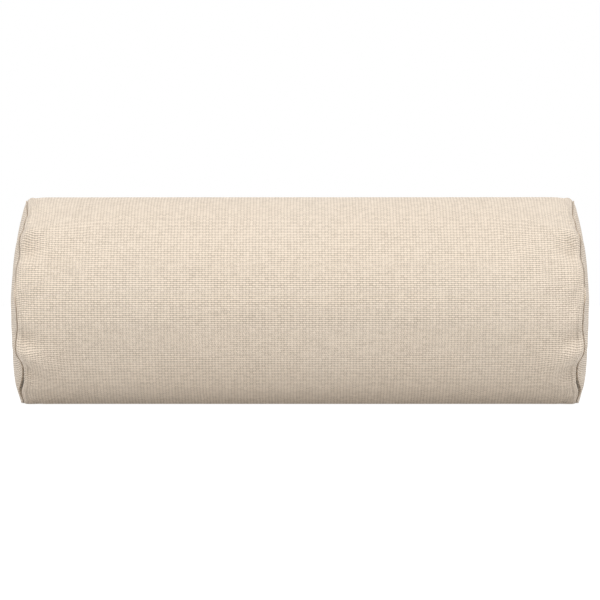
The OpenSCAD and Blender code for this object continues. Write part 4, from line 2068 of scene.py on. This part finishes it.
@dataclass(frozen=True)
class Studio:
    """A pale floor, soft light and a level camera in front of the roll."""

    camera_away: float = 2.372
    camera_height: float = 82.75 * MM
    lens_mm: float = 177.2
    floor_size: float = 60.0
    room_light: float = 0.71
    key_light: float = 1.78
    key_spread: float = 70.0
    key_height: float = 63.0
    floor_glow: float = 1.17
    glow_share: float = 0.24
    seen_share: float = 0.8

    def set_up(self) -> None:
        """Sets up the view, the room, the floor, the light and the camera."""
        scene = bpy.context.scene
        scene.view_settings.view_transform = "Standard"
        scene.view_settings.look = "None"
        self.fill_room(scene)
        self.lay_floor()
        self.hang_key_light(scene)
        self.place_camera(scene)

    def fill_room(self, scene: bpy.types.Scene) -> None:
        """Fills the room with even light, in front of a white background."""
        room = bpy.data.worlds.new("white_room")
        scene.world = room
        tree = FinishTree(room.name, room)
        seen = tree.node("ShaderNodeLightPath", {}, {}, "Is Camera Ray")
        strength = seen * (1.0 - self.room_light) + self.room_light
        light = tree.node("ShaderNodeBackground", {}, {"Color": (1.0, 1.0, 1.0, 1.0), "Strength": strength})
        output = tree.nodes.new("ShaderNodeOutputWorld")
        tree.links.new(light.socket, output.inputs["Surface"])

    def lay_floor(self) -> None:
        """Lays the pale floor, lit through so that only a faint shadow shows on it."""
        clear_bench()
        bpy.ops.mesh.primitive_plane_add(size=self.floor_size, location=(0, 0, 0))
        floor = new_piece("studio_floor")
        with shaping(floor):
            bpy.ops.mesh.select_all(action="SELECT")
            bpy.ops.mesh.subdivide(number_cuts=3)
        tree = FinishTree("pale_floor")
        cloud = tree.noise(tree.place(), 3.0)
        paint = tree.node("ShaderNodeBsdfDiffuse", {},
                          {"Color": tree.blend(cloud, (0.67, 0.67, 0.67), (0.69, 0.69, 0.69))}, "BSDF")
        glow = tree.node("ShaderNodeEmission", {},
                         {"Color": (1.0, 1.0, 1.0, 1.0), "Strength": self.floor_glow}, "Emission")
        seen = tree.node("ShaderNodeLightPath", {}, {}, "Is Camera Ray")
        share = seen * (self.seen_share - self.glow_share) + self.glow_share
        tree.node_output(tree.node("ShaderNodeMixShader", {}, {0: share, 1: paint, 2: glow}, 0))
        dress(floor, tree.material)

    def hang_key_light(self, scene: bpy.types.Scene) -> None:
        """Hangs one wide soft light above the front."""
        lamp = bpy.data.lights.new("key_light", "SUN")
        lamp.energy = self.key_light
        lamp.angle = math.radians(self.key_spread)
        key = bpy.data.objects.new("key_light", lamp)
        scene.collection.objects.link(key)
        key.rotation_euler = (math.radians(90.0 - self.key_height), 0.0, 0.0)

    def place_camera(self, scene: bpy.types.Scene) -> None:
        """Places the level camera."""
        view = bpy.data.cameras.new("front_view")
        view.lens = self.lens_mm
        view.sensor_width = 36.0
        view.clip_end = 100.0
        camera = bpy.data.objects.new("front_view", view)
        scene.collection.objects.link(camera)
        camera.location = (0.0, -self.camera_away, self.camera_height)
        camera.rotation_euler = (math.radians(90.0), 0.0, 0.0)
        scene.camera = camera


def main() -> None:
    """Builds the pillow piece by piece."""
    roll = Roll.from_frame()
    line = ZipLine.from_frame(roll)
    Studio().set_up()
    thread = TwistedThread("cream_thread", (0.80, 0.72, 0.60), (0.50, 0.43, 0.34)).make()
    binding = WovenTape("binding_weave", (0.74, 0.69, 0.60), (0.52, 0.47, 0.39)).make()
    tape = WovenTape("zip_tape_weave", (0.80, 0.73, 0.62), (0.58, 0.51, 0.41)).make()
    cover = WovenCover(roll, line)
    cover.make()
    for seam in cover.seams:
        end_seam = EndSeam(seam, thread, binding)
        end_seam.sew()
        end_seam.bind()
    back_zip = Zip(line, thread, tape, Monofilament().make(), NickelPlate().make())
    back_zip.make()
    Slider(back_zip).make()
    PullTab(back_zip).make()
    satin = FineCloth("white_satin", (0.90, 0.89, 0.86), (0.80, 0.79, 0.76), 0.3 * MM, 0.42).make()
    BackSeam(back_zip, satin).make()
    cotton = FineCloth("liner_cotton", (0.86, 0.85, 0.81), (0.74, 0.72, 0.67)).make()
    fluff = SoftFill("wadding_fibres", (0.92, 0.92, 0.90), (0.76, 0.76, 0.73), 1.8 * MM, 0.6 * MM).make()
    cells = SoftFill("foam_cells", (0.88, 0.80, 0.56), (0.62, 0.53, 0.33), 1.1 * MM, 0.35 * MM).make()
    Insert(roll, cotton, fluff, cells, thread).make()


if __name__ == "__main__":
    main()
